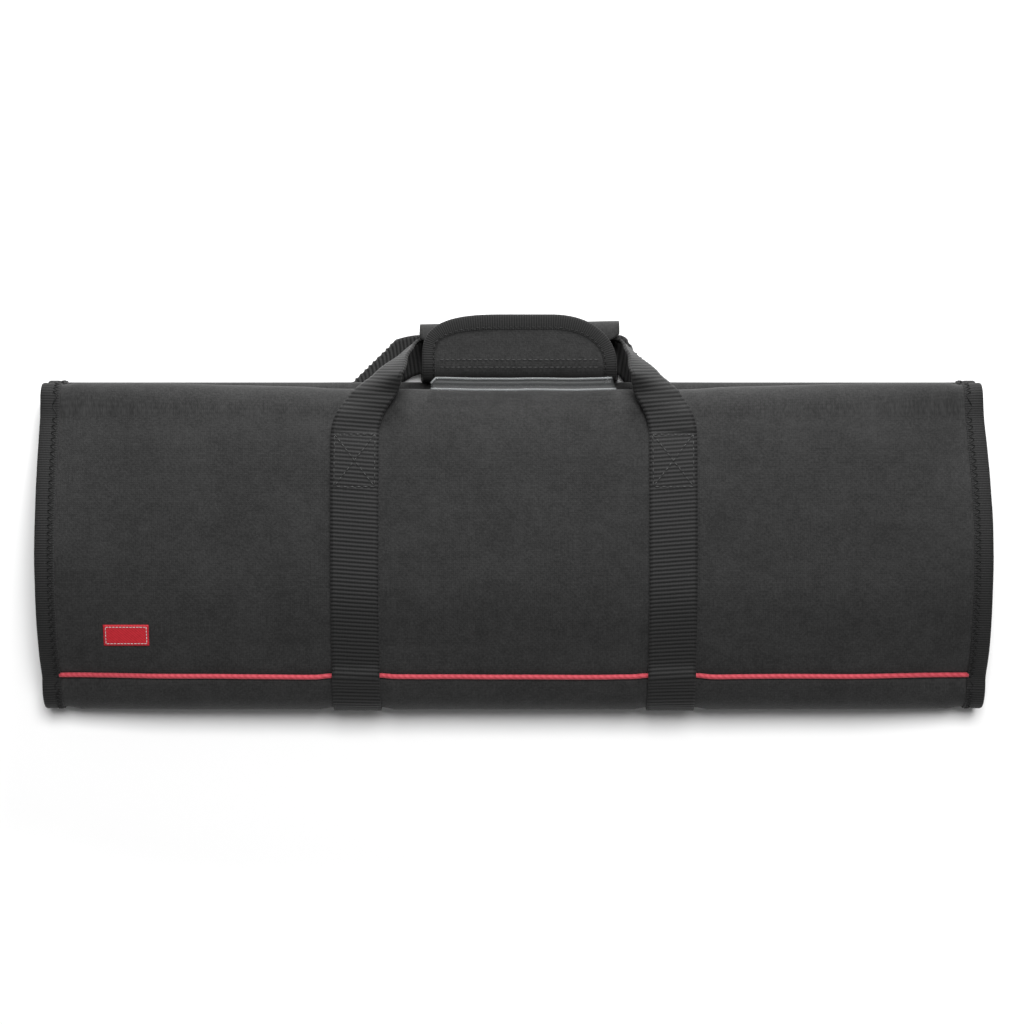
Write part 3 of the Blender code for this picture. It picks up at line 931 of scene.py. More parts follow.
@dataclass
class ShellPanels:
    """The two panels of padded nylon, whose edges turn down into the piped seam."""

    roll: RollShape
    column_step: float = 2.6 * MM
    row_step: float = 2.4 * MM
    edge_reach: float = 3.2 * MM
    edge_sink: float = 1.5 * MM
    edge_from_seam: float = 0.0125

    def columns(self) -> list[float]:
        """Returns where the columns stand along the roll."""
        edge = self.roll.width / 2 - self.roll.tape_stack
        return spread(-edge, edge, round(2 * edge / self.column_step))

    def rows(self, panel: Panel) -> list[float]:
        """Finds the panel's rows.

        Args:
            panel: which one.

        Returns:
            Their places on the path. They end a little short of the seam.
        """
        roll = self.roll
        start, end = 0, roll.seam - self.edge_from_seam
        if panel is Panel.BACK:
            start, end = roll.seam + self.edge_from_seam, roll.end
        return even_steps(start, end, self.row_step, lambda t: roll.place(0.0, t))

    def sink(self, x: float, t: float) -> float:
        """Returns how far the panel's edge turns down beside the piping."""
        away = (self.roll.place(x, t) - self.roll.place(x, self.roll.seam)).length
        return -self.edge_sink * (1 - ease(away / self.edge_reach))

    def build(self, panel: Panel) -> bpy.types.Object:
        """Builds and dresses one panel.

        Args:
            panel: which one.

        Returns:
            The piece.
        """
        roll = self.roll
        steps, columns = self.rows(panel), self.columns()
        rows = [[roll.place(x, t, self.sink(x, t)) for x in columns] for t in steps]
        run = lengths_along([row[len(row) // 2] for row in rows])
        piece = cloth(panel.value + "_cloth", rows, columns, run, roll.wall)
        SHELL.dress(piece, panel.value)
        return piece


# Stitches

@dataclass
class Stitching:
    """A run of lock stitches: short threads that dip into the cloth between each other."""

    stitch: float = 2.6 * MM
    gap: float = 0.7 * MM
    thread: float = 0.55 * MM
    proud: float = 0.12 * MM

    def threads(self, line: Sequence[Vector], normals: Sequence[Vector]) -> list[list[Vector]]:
        """Cuts a line on a surface into stitches.

        Args:
            line: points on the surface.
            normals: the surface's normal at each.

        Returns:
            One short line for each stitch.
        """
        run = lengths_along(line)
        step = self.stitch + self.gap
        count = max(1, int(run[-1] / step))
        step = run[-1] / count
        share = self.stitch / (self.stitch + self.gap)
        sunk = -0.6 * self.thread
        arch = (
            (0.0, sunk), (0.16, self.proud), (0.5, 1.5 * self.proud), (0.84, self.proud), (1.0, sunk),
        )

        def at(want: float, lift: float) -> Vector:
            """Finds a point on or off the line."""
            k, part = find_along(run, want)
            normal = normals[k].lerp(normals[k + 1], part).normalized()
            return line[k].lerp(line[k + 1], part) + normal * lift

        return [
            [at(step * (i + share * along), lift) for along, lift in arch]
            for i in range(count)
        ]

    def on_front(self, roll: RollShape, corners: Iterable[tuple], steps: int, lift: float) -> list:
        """Runs straight lines of stitches across the roll's front.

        Args:
            roll: the roll.
            corners: the start and the end of each line, as pairs of X and Y.
            steps: how many pieces each line is laid down in.
            lift: how far off the sheet's middle the thread runs.

        Returns:
            One short line for each stitch.
        """
        found = []
        for (x0, y0), (x1, y1) in corners:
            shares = spread(0, 1, steps)
            spots = [(x0 + (x1 - x0) * s, roll.t_front(round(y0 + (y1 - y0) * s, 6))) for s in shares]
            line = [roll.place(x, t, lift) for x, t in spots]
            found += self.threads(line, [roll.normal(x, t) for x, t in spots])
        return found


# Edge tape

class Side(Enum):
    """The roll's two ends."""

    LEFT = -1
    RIGHT = 1


@dataclass
class EdgeBinding:
    """Ribbed tape folded over the sheet's raw side edge, and its line of stitches."""

    roll: RollShape
    side: Side
    row_step: float = 1.6 * MM
    stitch_inset: float = 7.9 * MM
    stitch_pull: float = 0.25 * MM
    pull_reach: float = 1.2 * MM
    zigzag_width: float = 3.0 * MM
    zigzag_step: float = 1.9 * MM
    waviness: float = 0.22 * MM
    wave: float = 16 * MM
    wave_reach: float = 6 * MM

    @property
    def offset(self) -> float:
        """How far the tape's middle line lies off the sheet's."""
        return self.roll.wall / 2 + self.roll.gap / 2 + self.roll.tape / 2

    def profile(self) -> list[tuple[float, float]]:
        """Works out the folded tape's section.

        Returns:
            Its points: how far in from its outer edge, and how far off the sheet.
        """
        offset, cover, half = self.offset, self.roll.tape_cover, self.roll.tape / 2
        flat = [0.55 * offset, *(share * cover for share in (0.3, 0.45, 0.55, 0.63, 0.78, 0.92, 1.0))]
        bend = [(half, 0.5 * offset), (0.62 * half + 0.1 * offset, 0.86 * offset)]
        return both_faces(bend + [(inset, offset) for inset in flat])

    def press(self, inset: float) -> float:
        """Returns how far the stitches pull the tape in."""
        away = abs(inset - self.stitch_inset)
        return self.stitch_pull * (1 - ease((away - self.zigzag_width / 2) / self.pull_reach))

    def x_of(self, inset: float, run: float) -> float:
        """Returns X for a distance in from the tape's edge, which is a little wavy."""
        wave = self.waviness * unevenness(run, self.side.value, self.wave, 3.3)
        return self.side.value * (self.roll.width / 2 - inset + wave * (1 - ease(inset / self.wave_reach)))

    def build(self) -> bpy.types.Object:
        """Builds and dresses the tape and its stitches.

        Returns:
            The tape.
        """
        roll, name = self.roll, f"edge_binding_{self.side.name.lower()}"
        steps = even_steps(0, roll.end, self.row_step, lambda t: roll.place(0.0, t))
        middle = self.side.value * (roll.width / 2 - roll.tape_cover / 2)
        run = lengths_along([roll.place(middle, t) for t in steps])
        profile = self.profile()
        rows = []
        for t, along in zip(steps, run):
            row = []
            for inset, off in profile:
                pulled = math.copysign(abs(off) - self.press(inset), off)
                row.append(roll.place(self.x_of(inset, along), t, pulled))
            rows.append(row)
        if self.side is Side.RIGHT:
            rows = [row[::-1] for row in rows]
        across = lengths_along([Vector((i, o, 0)) for i, o in profile])
        piece = cloth(name + "_tape", rows, across, run, roll.tape)
        TAPE.dress(piece, name)
        self.sew(name)
        return piece

    def sew(self, name: str) -> None:
        """Sews the tape down with a zig-zag on both faces.

        Args:
            name: the node's name.
        """
        roll, thread, threads = self.roll, Stitching().thread, []
        arch = ((0.0, -0.5), (0.18, 0.25), (0.5, 0.4), (0.82, 0.25), (1.0, -0.5))
        lift = self.offset + roll.tape / 2 - self.press(self.stitch_inset)
        stops = even_steps(0, roll.end, self.zigzag_step, lambda t: roll.place(0.0, t))[1:-1]
        for face in (1, -1):
            for number, (t0, t1) in enumerate(zip(stops, stops[1:])):
                sway = self.zigzag_width / 2 * (1 if number % 2 else -1)
                knots = []
                for share, rise in arch:
                    x = self.x_of(self.stitch_inset + sway * (1 - 2 * share), 0.0)
                    knots.append(roll.place(x, t0 + (t1 - t0) * share, face * (lift + rise * thread)))
                threads.append(knots)
        DARK_THREAD.dress(cord(name + "_stitches", threads, thread, 0, 0.7))


# Piped seam

@dataclass
class PipedSeam:
    """A covered cord that stands in the seam between the two panels."""

    roll: RollShape
    diameter: float = 2.6 * MM
    proud: float = 1.5 * MM
    step: float = 2.0 * MM
    end_show: float = 0.6 * MM
    sway: float = 0.35 * MM
    sway_length: float = 60 * MM

    def build(self) -> bpy.types.Object:
        """Builds and dresses the piping.

        Returns:
            The piece.
        """
        roll = self.roll
        reach = roll.width / 2 - roll.tape_cover + self.end_show
        outward = roll.wall / 2 + self.proud - self.diameter / 2
        points = []
        for x in spread(-reach, reach, round(2 * reach / self.step)):
            sway = self.sway * unevenness(x, 0.0, self.sway_length, 8.2)
            points.append(roll.place(x, roll.seam, outward) + Vector((0, sway, 0)))
        piece = cord("piping_cord", [points], self.diameter, 3)
        return PIPING.dress(piece, "piping")


# Grip

@dataclass(frozen=True)
class FlapCorner:
    """A rounded corner of the grip's flap: how far it reaches across and along, and how square it is."""

    along: float
    out: float
    power: float

    def inset(self, from_end: float) -> float:
        """Returns how far the flap's side has come in, at a distance from the flap's end."""
        share = min(max(1 - from_end / self.out, 0.0), 1.0)
        return self.along * (1 - (1 - share ** self.power) ** (1 / self.power))

    def outline(self, half: float) -> list[tuple[float, float]]:
        """Returns the corner's outline as places across and distances from the flap's end.

        Args:
            half: half the flap's width.

        Returns:
            The points, from the flap's side to its end.
        """
        found = []
        for share in spread(0, 1, 90):
            angle = share * math.pi / 2
            x = half - self.along * (1 - math.cos(angle) ** (2 / self.power))
            found.append((x, self.out * (1 - math.sin(angle) ** (2 / self.power))))
        return found


@dataclass(frozen=True)
class GripShape:
    """The wrap round both carrying loops: a squared-off loop and the flap that closes over it."""

    roll: RollShape
    shift: float = 3 * MM
    width: float = 106 * MM
    standoff: float = 2.4 * MM
    depth: float = 29.1 * MM
    rise: float = 24.4 * MM
    squareness: float = 4.6
    floor_gap: float = 0.4 * MM
    wall: float = 1.6 * MM
    tuck_width: float = 84 * MM
    flap_width: float = 100.6 * MM
    flap_overhang: float = 3.1 * MM
    flap_lift: float = 3.1 * MM
    left_corner: FlapCorner = FlapCorner(44.5 * MM, 22 * MM, 3.0)
    right_corner: FlapCorner = FlapCorner(34 * MM, 26.5 * MM, 2.2)
    tuck_end: float = 1.3
    flap_start: float = 11.0

    @property
    def centre(self) -> Vector:
        """The middle of the loop, seen from the end."""
        y = self.roll.half + self.standoff + self.depth / 2
        return Vector((self.shift, y, self.floor_gap + self.wall / 2 + self.rise / 2))

    def loop_point(self, degrees: float, lift: float) -> Vector:
        """Finds a point of the squared-off loop.

        Args:
            degrees: the angle round it, 0 away from the roll.
            lift: how much higher the loop is.

        Returns:
            The point.
        """
        angle = math.radians(degrees)

        def power(value: float) -> float:
            """Squares off a sine or cosine."""
            return math.copysign(abs(value) ** (2 / self.squareness), value)

        centre = self.centre
        return Vector((
            0.0,
            centre.y + self.depth / 2 * power(math.cos(angle)),
            centre.z + (self.rise / 2 + lift) * power(math.sin(angle)),
        ))

    @functools.cached_property
    def path(self) -> list[Vector]:
        """Lays out the wrap's middle line.

        Returns:
            Its control points, from the tucked end to the end of the flap.
        """
        inner = (108, 92, 75, 45, 20, -20, -45, -75, -105, -135, -160)
        points = [self.loop_point(a, 0.0) for a in inner]
        points += [self.loop_point(a, self.flap_lift) for a in (-200, -225, -250)]
        centre = self.centre
        top = centre.z + self.rise / 2 + self.flap_lift
        for y in (self.depth / 10, self.depth / 3, self.depth / 2 + self.flap_overhang):
            points.append(Vector((0.0, centre.y + y, top)))
        return points

    @property
    def end(self) -> int:
        """Where the path ends."""
        return len(self.path) - 1

    def place(self, x: float, t: float, outward: float = 0.0) -> Vector:
        """Finds a point on or off the wrap.

        Args:
            x: the distance from the grip's middle.
            t: the place on the path.
            outward: the distance off the middle line, away from the loops.

        Returns:
            The point. Past the flap's end the wrap runs on level.
        """
        step = 0.02
        inside = min(t, self.end)
        behind = on_curve(self.path, max(inside - step, 0))
        ahead = on_curve(self.path, min(inside + step, self.end)) - behind
        normal = Vector((0, -ahead.z, ahead.y)).normalized()
        point = on_curve(self.path, inside) + normal * outward
        return Vector((self.shift + x, point.y, point.z))

    def normal(self, x: float, t: float) -> Vector:
        """Returns the wrap's outward normal."""
        return (self.place(x, t, MM) - self.place(x, t)).normalized()

    @functools.cached_property
    def flap_run(self) -> list[tuple[float, float]]:
        """Measures the flap.

        Returns:
            Places on the path, from its end backwards, each with its distance from the flap's end.
        """
        steps = spread(self.flap_start - 2, self.end, 400)
        run = lengths_along([self.place(0.0, t) for t in steps])
        return [(t, run[-1] - along) for t, along in zip(steps, run)][::-1]

    def t_from_end(self, length: float) -> float:
        """Finds the place on the path at a distance from the flap's end.

        Args:
            length: the distance.

        Returns:
            The place. It is never below the first one measured.
        """
        for (t0, before), (t1, after) in zip(self.flap_run, self.flap_run[1:]):
            if after >= length:
                return t0 + (t1 - t0) * max(0.0, length - before) / (after - before)
        return self.flap_run[-1][0]

    def place_from_end(self, x: float, length: float, outward: float) -> Vector:
        """Finds a point on or off the flap by its distance from the flap's end.

        Args:
            x: the distance from the grip's middle.
            length: the distance from the flap's end, below zero past it.
            outward: the distance off the middle line.

        Returns:
            The point.
        """
        return self.place(x, self.t_from_end(length), outward) + Vector((0.0, max(0.0, -length), 0.0))

    def t_at_y(self, y: float) -> float:
        """Finds y on the flap's upper face."""
        steps = spread(self.flap_start + 1, self.end, 200)
        return min(steps, key=lambda t: abs(self.place(0.0, t).y - y))


GRIP = GripShape(ROLL)


@dataclass
class GripWrap:
    """The wrap itself: nylon, softly dented, with two rows of stitches across its flap."""

    grip: GripShape
    row_step: float = 1.5 * MM
    column_count: int = 52
    stitch_rows: tuple[float, float] = (98.8 * MM, 95.0 * MM)
    stitch_inset: float = 8 * MM
    askew: float = 0.9 * MM
    still_end: float = 18 * MM
    puff: float = 0.27 * MM
    puff_size: float = 24 * MM
    crown: float = 0.5 * MM

    def side_at(self, t: float, corner: FlapCorner) -> float:
        """Returns how far from the middle the wrap's side lies.

        Args:
            t: the place on the wrap's path.
            corner: the flap's corner on that side.

        Returns:
            The distance.
        """
        grip = self.grip
        if t < grip.flap_start - 0.8:
            tucked = (grip.width - grip.tuck_width) / 2 * (1 - ease((t - grip.tuck_end) / 0.7))
            return grip.width / 2 - tucked
        widened = (grip.flap_width - grip.width) / 2 * ease((t - grip.flap_start + 0.8) / 0.4)
        half = grip.width / 2 + widened
        if t < grip.flap_start + 1:
            return half
        from_end = next(left for at, left in grip.flap_run if at <= t)
        return half - corner.inset(from_end)

    def dent(self, x: float, t: float) -> float:
        """Finds how far the soft wrap stands off its plain form.

        Args:
            x: the distance from the grip's middle.
            t: the place on the wrap's path.

        Returns:
            The distance outward.
        """
        grip = self.grip
        keep = ease((grip.width / 2 - abs(x)) / self.still_end) * ease((t - grip.tuck_end) / 2)
        point = grip.place(x, t)
        soft = self.puff * unevenness(x, point.y + 2 * point.z, self.puff_size, 2.4)
        crown = self.crown if t > grip.flap_start + 1 else 0.0
        return keep * (soft + crown)

    def build(self) -> bpy.types.Object:
        """Builds and dresses the wrap and its stitches.

        Returns:
            The wrap.
        """
        grip = self.grip
        steps = even_steps(0, grip.end, self.row_step, lambda t: grip.place(0.0, t))
        steps = steps[:-1] + spread(steps[-2], steps[-1], 4)[1:]
        shares = spread(-1, 1, self.column_count)
        rows = []
        for t in steps:
            left, right = self.side_at(t, grip.left_corner), self.side_at(t, grip.right_corner)
            xs = [(right - left) / 2 + s * (right + left) / 2 for s in shares]
            turn = self.askew * (1 - ease((t - grip.flap_start + 2) / 2)) / (grip.width / 2)
            rows.append([grip.place(x, t, self.dent(x, t)) + Vector((0, x * turn, 0)) for x in xs])
        run = lengths_along([grip.place(0.0, t) for t in steps])
        us = [s * grip.width / 2 for s in shares]
        piece = cloth("grip_wrap_cloth", rows, us, run, grip.wall)
        SHELL.dress(piece, "grip_wrap")
        self.sew()
        return piece

    def sew(self) -> None:
        """Sews the two rows across the flap."""
        grip, stitching, lines = self.grip, Stitching(stitch=2.2 * MM), []
        reach = grip.flap_width / 2 - self.stitch_inset
        xs = spread(-reach, reach, 60)
        for y in self.stitch_rows:
            t = grip.t_at_y(y)
            line = [grip.place(x, t, grip.wall / 2 + self.dent(x, t)) for x in xs]
            lines += stitching.threads(line, [grip.normal(x, t) for x in xs])
        THREAD.dress(cord("grip_wrap_stitches", lines, stitching.thread, 1, 0.7))


class EdgeSpot(NamedTuple):
    """A spot on the flap's edge: across, from the flap's end, and the way outwards in both."""

    x: float
    from_end: float
    across: float
    along: float


@dataclass
class GripBinding:
    """Tape round the flap's rounded edge, with one row of stitches near its inner side."""

    grip: GripShape
    tape: float = 0.7 * MM
    end_cover: float = 8 * MM
    side_cover: float = 6.8 * MM
    start: float = 10.6
    step: float = 1.5 * MM
    edge_gap: float = 0.3 * MM
    face_gap: float = 0.15 * MM
    stitch_share: float = 0.85
    stitch_pull: float = 0.25 * MM
    pull_reach: float = 1.4 * MM

    def outline(self) -> list[tuple[float, float]]:
        """Traces the flap's outline.

        Returns:
            Places across and distances from the flap's end, from lower left round to lower right.
        """
        grip = self.grip
        half = grip.flap_width / 2
        foot = next(left for at, left in grip.flap_run if at <= self.start)
        corners = (grip.left_corner, grip.right_corner)
        left, right = ([(half, foot)] + corner.outline(half) for corner in corners)
        return [(-x, r) for x, r in left] + right[::-1]

    def spots(self) -> list[EdgeSpot]:
        """Spaces spots evenly on the outline.

        Returns:
            The spots, with their outward directions.
        """
        line = [Vector((x, -r, 0.0)) for x, r in self.outline()]
        run = lengths_along(line)
        count = round(run[-1] / self.step)
        places = []
        for i in range(count + 1):
            k, share = find_along(run, run[-1] * i / count)
            places.append(line[k].lerp(line[k + 1], share))
        found = []
        for i, place in enumerate(places):
            ahead = (places[min(i + 1, count)] - places[max(i - 1, 0)]).normalized()
            found.append(EdgeSpot(place.x, -place.y, -ahead.y, ahead.x))
        return found

    def cover(self, spot: EdgeSpot) -> float:
        """Returns how much of the flap the tape covers there."""
        return self.side_cover + (self.end_cover - self.side_cover) * spot.along ** 2

    def profile(self) -> list[tuple[float, float]]:
        """Works out the folded tape's section.

        Returns:
            Its points: a share of its cover, and how far off the flap.
        """
        offset = self.grip.wall / 2 + self.face_gap + self.tape / 2
        flat = [(share, offset) for share in (0.12, 0.35, 0.6, 0.76, 0.85, 0.93, 1.0)]
        return both_faces([(0.02, 0.5 * offset), (0.05, 0.86 * offset)] + flat)

    def point(self, spot: EdgeSpot, share: float, outward: float) -> Vector:
        """Finds a point of the tape.

        Args:
            spot: a spot on the flap's edge.
            share: how far in from the tape's outer edge, as a share of its cover.
            outward: how far off the flap.

        Returns:
            The point.
        """
        out = self.edge_gap + self.tape - share * self.cover(spot)
        from_end = spot.from_end - spot.along * out
        return self.grip.place_from_end(spot.x + spot.across * out, from_end, outward)

    def build(self) -> bpy.types.Object:
        """Builds and dresses the tape and its stitches.

        Returns:
            The tape.
        """
        profile, spots = self.profile(), self.spots()
        rows = []
        for spot in spots:
            row = []
            for share, off in profile:
                away = abs(share - self.stitch_share) * self.cover(spot)
                pull = self.stitch_pull * (1 - ease(away / self.pull_reach))
                row.append(self.point(spot, share, math.copysign(abs(off) - pull, off)))
            rows.append(row)
        run = lengths_along([row[len(row) // 2] for row in rows])
        across = lengths_along([Vector((i * self.end_cover, o, 0)) for i, o in profile])
        piece = cloth("grip_binding_tape", rows, across, run, self.tape)
        TAPE.dress(piece, "grip_binding")
        stitching = Stitching(stitch=2.2 * MM)
        lift = self.grip.wall / 2 + self.tape
        line = [self.point(spot, self.stitch_share, lift) for spot in spots]
        normals = [self.grip.normal(spot.x, self.grip.t_from_end(spot.from_end)) for spot in spots]
        lines = stitching.threads(line, normals)
        DARK_THREAD.dress(cord("grip_binding_stitches", lines, stitching.thread, 1, 0.7))
        return piece


# Webbing

class Bend(NamedTuple):
    """A bend of a free strap: shares of its way inward, outward and up, and its twist in degrees."""

    inward: float
    outward: float
    height: float
    twist: float


class Loop(Enum):
    """The two lengths of webbing."""

    FRONT = "front_webbing"
    REAR = "rear_webbing"


FRONT_BENDS = (
    Bend(0.070, 0.17, 0.96, 2),
    Bend(0.280, 0.37, 0.98, 14),
    Bend(0.540, 0.60, 0.76, 52),
    Bend(0.785, 0.82, 0.36, 76),
    Bend(1.000, 0.96, 0.04, 88),
)


class Control(NamedTuple):
    """One control of a free strap: its centre, its twist in radians and its width."""

    centre: Vector
    twist: float
    width: float


@dataclass(frozen=True)
class StrapFold:
    """The slanting fold of a rear strap: its inner end, the fold's slope and the strap's own slope."""

    x: float
    y: float
    slope: float
    strap_slope: float


@dataclass
class CarryWebbing:
    """One length of ribbed webbing: up the left strap, through the grip and down the right strap."""

    roll: RollShape
    grip: GripShape
    loop: Loop
    front_stitch_y: float = 60 * MM
    rear_stitch_y: float = 54 * MM
    gathered_front: float = 16 * MM
    mouth_rear: float = 21 * MM
    rear_loop_gap: float = 2.8 * MM
    rear_loop_shift: float = -1.0 * MM
    lying_step: float = 1.5 * MM
    meeting: float = 0.01
    rear_step: float = 0.5 * MM
    settle_reach: float = 14 * MM
    lead_in: float = 4 * MM
    bump_reach: float = 7 * MM
    piping_proud: float = 1.5 * MM
    rib: float = 2.1 * MM
    rows_per_rib: int = 5
    columns: int = 12
    groove: float = 0.75
    rib_swell: float = 1.1
    skew: float = 1.0 * MM
    fold_radius: float = 0.85 * MM
    left_fold: StrapFold = StrapFold(64.2 * MM, 108.5 * MM, 44.4, 84.0)
    right_fold: StrapFold = StrapFold(61.5 * MM, 106.0 * MM, 42.7, 81.0)

    @property
    def offset(self) -> float:
        """How far the webbing's middle lies off the sheet's."""
        return self.roll.wall / 2 + self.roll.gap + self.roll.webbing / 2

    @property
    def stitch_y(self) -> float:
        """Where the strap's last stitch lies."""
        return self.front_stitch_y if self.loop is Loop.FRONT else self.rear_stitch_y

    @property
    def loop_y(self) -> float:
        """Where the strap runs in the grip."""
        middle = self.grip.centre.y
        if self.loop is Loop.FRONT:
            return middle + self.grip.depth / 4 + self.roll.webbing / 2
        return middle + self.rear_loop_shift

    @property
    def loop_z(self) -> float:
        """How high the strap runs in the grip."""
        rear = self.grip.floor_gap + self.grip.wall + self.roll.webbing + self.rear_loop_gap
        if self.loop is Loop.REAR:
            return rear
        return rear + self.roll.webbing / 2 + self.roll.gap + self.gathered_front / 2

    def mouth(self, side: int) -> float:
        """Returns how far from the roll's middle the grip's mouth is on that side."""
        return abs(self.grip.shift + side * self.grip.width / 2)

    def over_seam(self, t: float) -> float:
        """Finds the strap's extra height where it passes over the piping.

        Args:
            t: the place on the path.

        Returns:
            The height.
        """
        x, roll = self.roll.strap_x, self.roll
        away = (roll.place(x, t) - roll.place(x, roll.seam)).length
        return (self.piping_proud + roll.gap) * (1 - ease(away / self.bump_reach))

    @property
    def shares(self) -> list[float]:
        """Each column's place across the strap, from -1 at its outer edge to 1 at its inner edge."""
        return spread(-1, 1, self.columns)

    def lying(self, side: int) -> list[list[Vector]]:
        """Returns rows of the strap where it lies on the sheet.

        Args:
            side: -1 for the left strap, 1 for the right.

        Returns:
            The rows, from under the bottom fold to the last stitch.
        """
        roll = self.roll
        meet = roll.back
        if self.loop is Loop.FRONT:
            start, end = meet - self.meeting, roll.t_front(self.stitch_y)
        else:
            start, end = meet + self.meeting, roll.t_where(self.stitch_y, roll.back, roll.rear_fold)
        rows = []
        for t in even_steps(start, end, self.lying_step, lambda t: roll.place(roll.strap_x, t)):
            lift = self.offset + self.over_seam(t)
            rows.append([
                roll.place(side * (roll.strap_x - share * roll.webbing_width / 2), t, lift)
                for share in self.shares
            ])
        return rows

    def controls(self, side: int) -> list[Control]:
        """Returns the free front strap's controls, as if it were the left one.

        Args:
            side: -1 for the left strap, 1 for the right.

        Returns:
            The controls, from just before the last stitch to inside the grip.
        """
        roll, grip = self.roll, self.grip
        mouth, crest = -self.mouth(side), self.crest()
        found = []
        for y in (self.stitch_y - roll.webbing_width / 2, self.stitch_y):
            centre = roll.place(-roll.strap_x, roll.t_front(y), self.offset)
            found.append(Control(centre, 0.0, roll.webbing_width))
        for bend in FRONT_BENDS:
            twist = math.radians(bend.twist)
            spare = roll.webbing_width - self.gathered_front
            width = self.gathered_front + spare * ease(2 - 2 * bend.inward)
            y = self.stitch_y + bend.outward * (self.loop_y - self.stitch_y)
            z = self.loop_z + bend.height * (crest - self.loop_z + width / 2 * math.sin(twist))
            on_roll = y < LAYERS[-1].place * roll.half
            lower = roll.t_front(y - roll.webbing_width / 6) if on_roll else 0.0
            surface = roll.place(roll.strap_x, lower, roll.wall / 2).z if on_roll else 0.0
            z = max(z, surface + roll.gap + roll.webbing + width / 2 * math.sin(twist))
            x = -roll.strap_x + bend.inward * (mouth + roll.strap_x)
            found.append(Control(Vector((x, y, z)), twist, width))
        inside = Vector((mouth + grip.width / 8, self.loop_y, self.loop_z))
        found.append(Control(inside, math.radians(90), self.gathered_front))
        return found

    def crest(self) -> float:
        """Finds how high the front strap passes over the front fold.

        Returns:
            The height of its middle.
        """
        roll = self.roll
        t = (roll.front_fold + roll.front_outer) / 2 + 2
        return roll.place(roll.strap_x, t, roll.wall / 2).z + roll.gap + roll.webbing / 2

    def free_front(self, side: int) -> list[list[Vector]]:
        """Returns rows of the front strap from its last stitch into the grip. Its ribs stay level.

        Args:
            side: -1 for the left strap, 1 for the right.

        Returns:
            The rows.
        """
        controls = self.controls(side)
        centres = [c.centre for c in controls]
        last = len(controls) - 1
        rows = []
        for t in spread(1, last, 12 * (last - 1))[1:]:
            i = min(int(t), last - 1)
            part = t - i
            twist = controls[i].twist + (controls[i + 1].twist - controls[i].twist) * ease(part)
            width = controls[i].width + (controls[i + 1].width - controls[i].width) * part
            centre = on_curve(centres, t)
            inner = Vector((math.cos(twist), 0.0, math.sin(twist))) * width / 2
            rows.append([self.mirrored(centre + inner * share, side) for share in self.shares])
        return rows

    def mirrored(self, place: Vector, side: int) -> Vector:
        """Returns a left strap's point as the point of the strap on that side."""
        return Vector((-side * place.x, place.y, place.z))

    def folded(self, side: int, fold: StrapFold, across: float, along: float) -> Vector:
        """Lays a point of the flat rear strap round its slanting fold, as if it were the left strap.

        Args:
            side: -1 for the left strap, 1 for the right. It is not used.
            fold: the strap's fold.
            across: the distance from the strap's outer edge to the point.
            along: the distance past the height of the fold's inner end, below zero before it.

        Returns:
            The point.
        """
        way, crease = math.radians(fold.strap_slope), math.radians(fold.slope)
        inward = self.roll.webbing_width - across
        place = Vector((
            -fold.x - inward * math.sin(way) + along * math.cos(way),
            fold.y + inward * math.cos(way) + along * math.sin(way),
        ))
        beyond = Vector((-math.sin(crease), math.cos(crease)))
        past = (place - Vector((-fold.x, fold.y))).dot(beyond)
        turn = math.pi * self.fold_radius
        rise = 0.0
        if past > 0:
            bent = min(past, turn)
            reach = self.fold_radius * math.sin(bent / self.fold_radius) - max(0.0, past - turn)
            place += beyond * (reach - past)
            rise = self.fold_radius * (1 - math.cos(bent / self.fold_radius))
        return Vector((place.x, place.y, self.roll.webbing / 2 + rise))

    def free_rear(self, side: int) -> list[list[Vector]]:
        """Returns rows of the rear strap from its last stitch, round its fold and into the grip.

        Args:
            side: -1 for the left strap, 1 for the right.

        Returns:
            The rows.
        """
        roll, fold = self.roll, self.left_fold if side < 0 else self.right_fold
        width, mouth = roll.webbing_width, -self.mouth(side)
        start = (self.stitch_y - fold.y) / math.sin(math.radians(fold.strap_slope))
        rows, along = [], start + self.lying_step
        while True:
            row = [self.folded(side, fold, (1 + share) / 2 * width, along) for share in self.shares]
            middle = row[len(row) // 2]
            if middle.x > mouth + self.grip.width / 8:
                return rows
            settle = 1 - ease((along - start) / self.settle_reach)
            to_mouth = ease((middle.x + fold.x + self.lead_in) / (mouth + fold.x + self.lead_in))
            shift = Vector((
                (-roll.strap_x - middle.x) * settle,
                (self.loop_y - middle.y) * to_mouth,
                (self.loop_z - middle.z) * to_mouth,
            ))
            narrow = 1 + (self.mouth_rear / width - 1) * to_mouth
            rows.append([self.mirrored(middle + (place - middle) * narrow + shift, side) for place in row])
            along += self.rear_step

    def keys(self) -> list[list[Vector]]:
        """Joins the strap's stretches.

        Returns:
            The whole strap's rows, as they were found.
        """
        free = self.free_front if self.loop is Loop.FRONT else self.free_rear
        left, right = (self.lying(side) + free(side) for side in (-1, 1))
        return left + right[::-1]

    def rows(self) -> list[list[Vector]]:
        """Spaces the strap's rows for its ribs, with the slight slant of the real weave.

        Returns:
            The rows.
        """
        keys, middle = self.keys(), self.columns // 2
        run = [0.0]
        for a, b in zip(keys, keys[1:]):
            step = b[middle] - a[middle]
            way = (a[middle + 1] - a[middle - 1] + b[middle + 1] - b[middle - 1]).normalized()
            run.append(run[-1] + (step - way * step.dot(way)).length)
        count = round(run[-1] / self.rib) * self.rows_per_rib
        found = []
        for i in range(count + 1):
            slant = self.skew * math.sin(2 * math.pi * i / count)
            row = []
            for column, share in enumerate(self.shares):
                k, part = find_along(run, run[-1] * i / count - slant * share)
                row.append(keys[k][column].lerp(keys[k + 1][column], part))
            found.append(row)
        return found

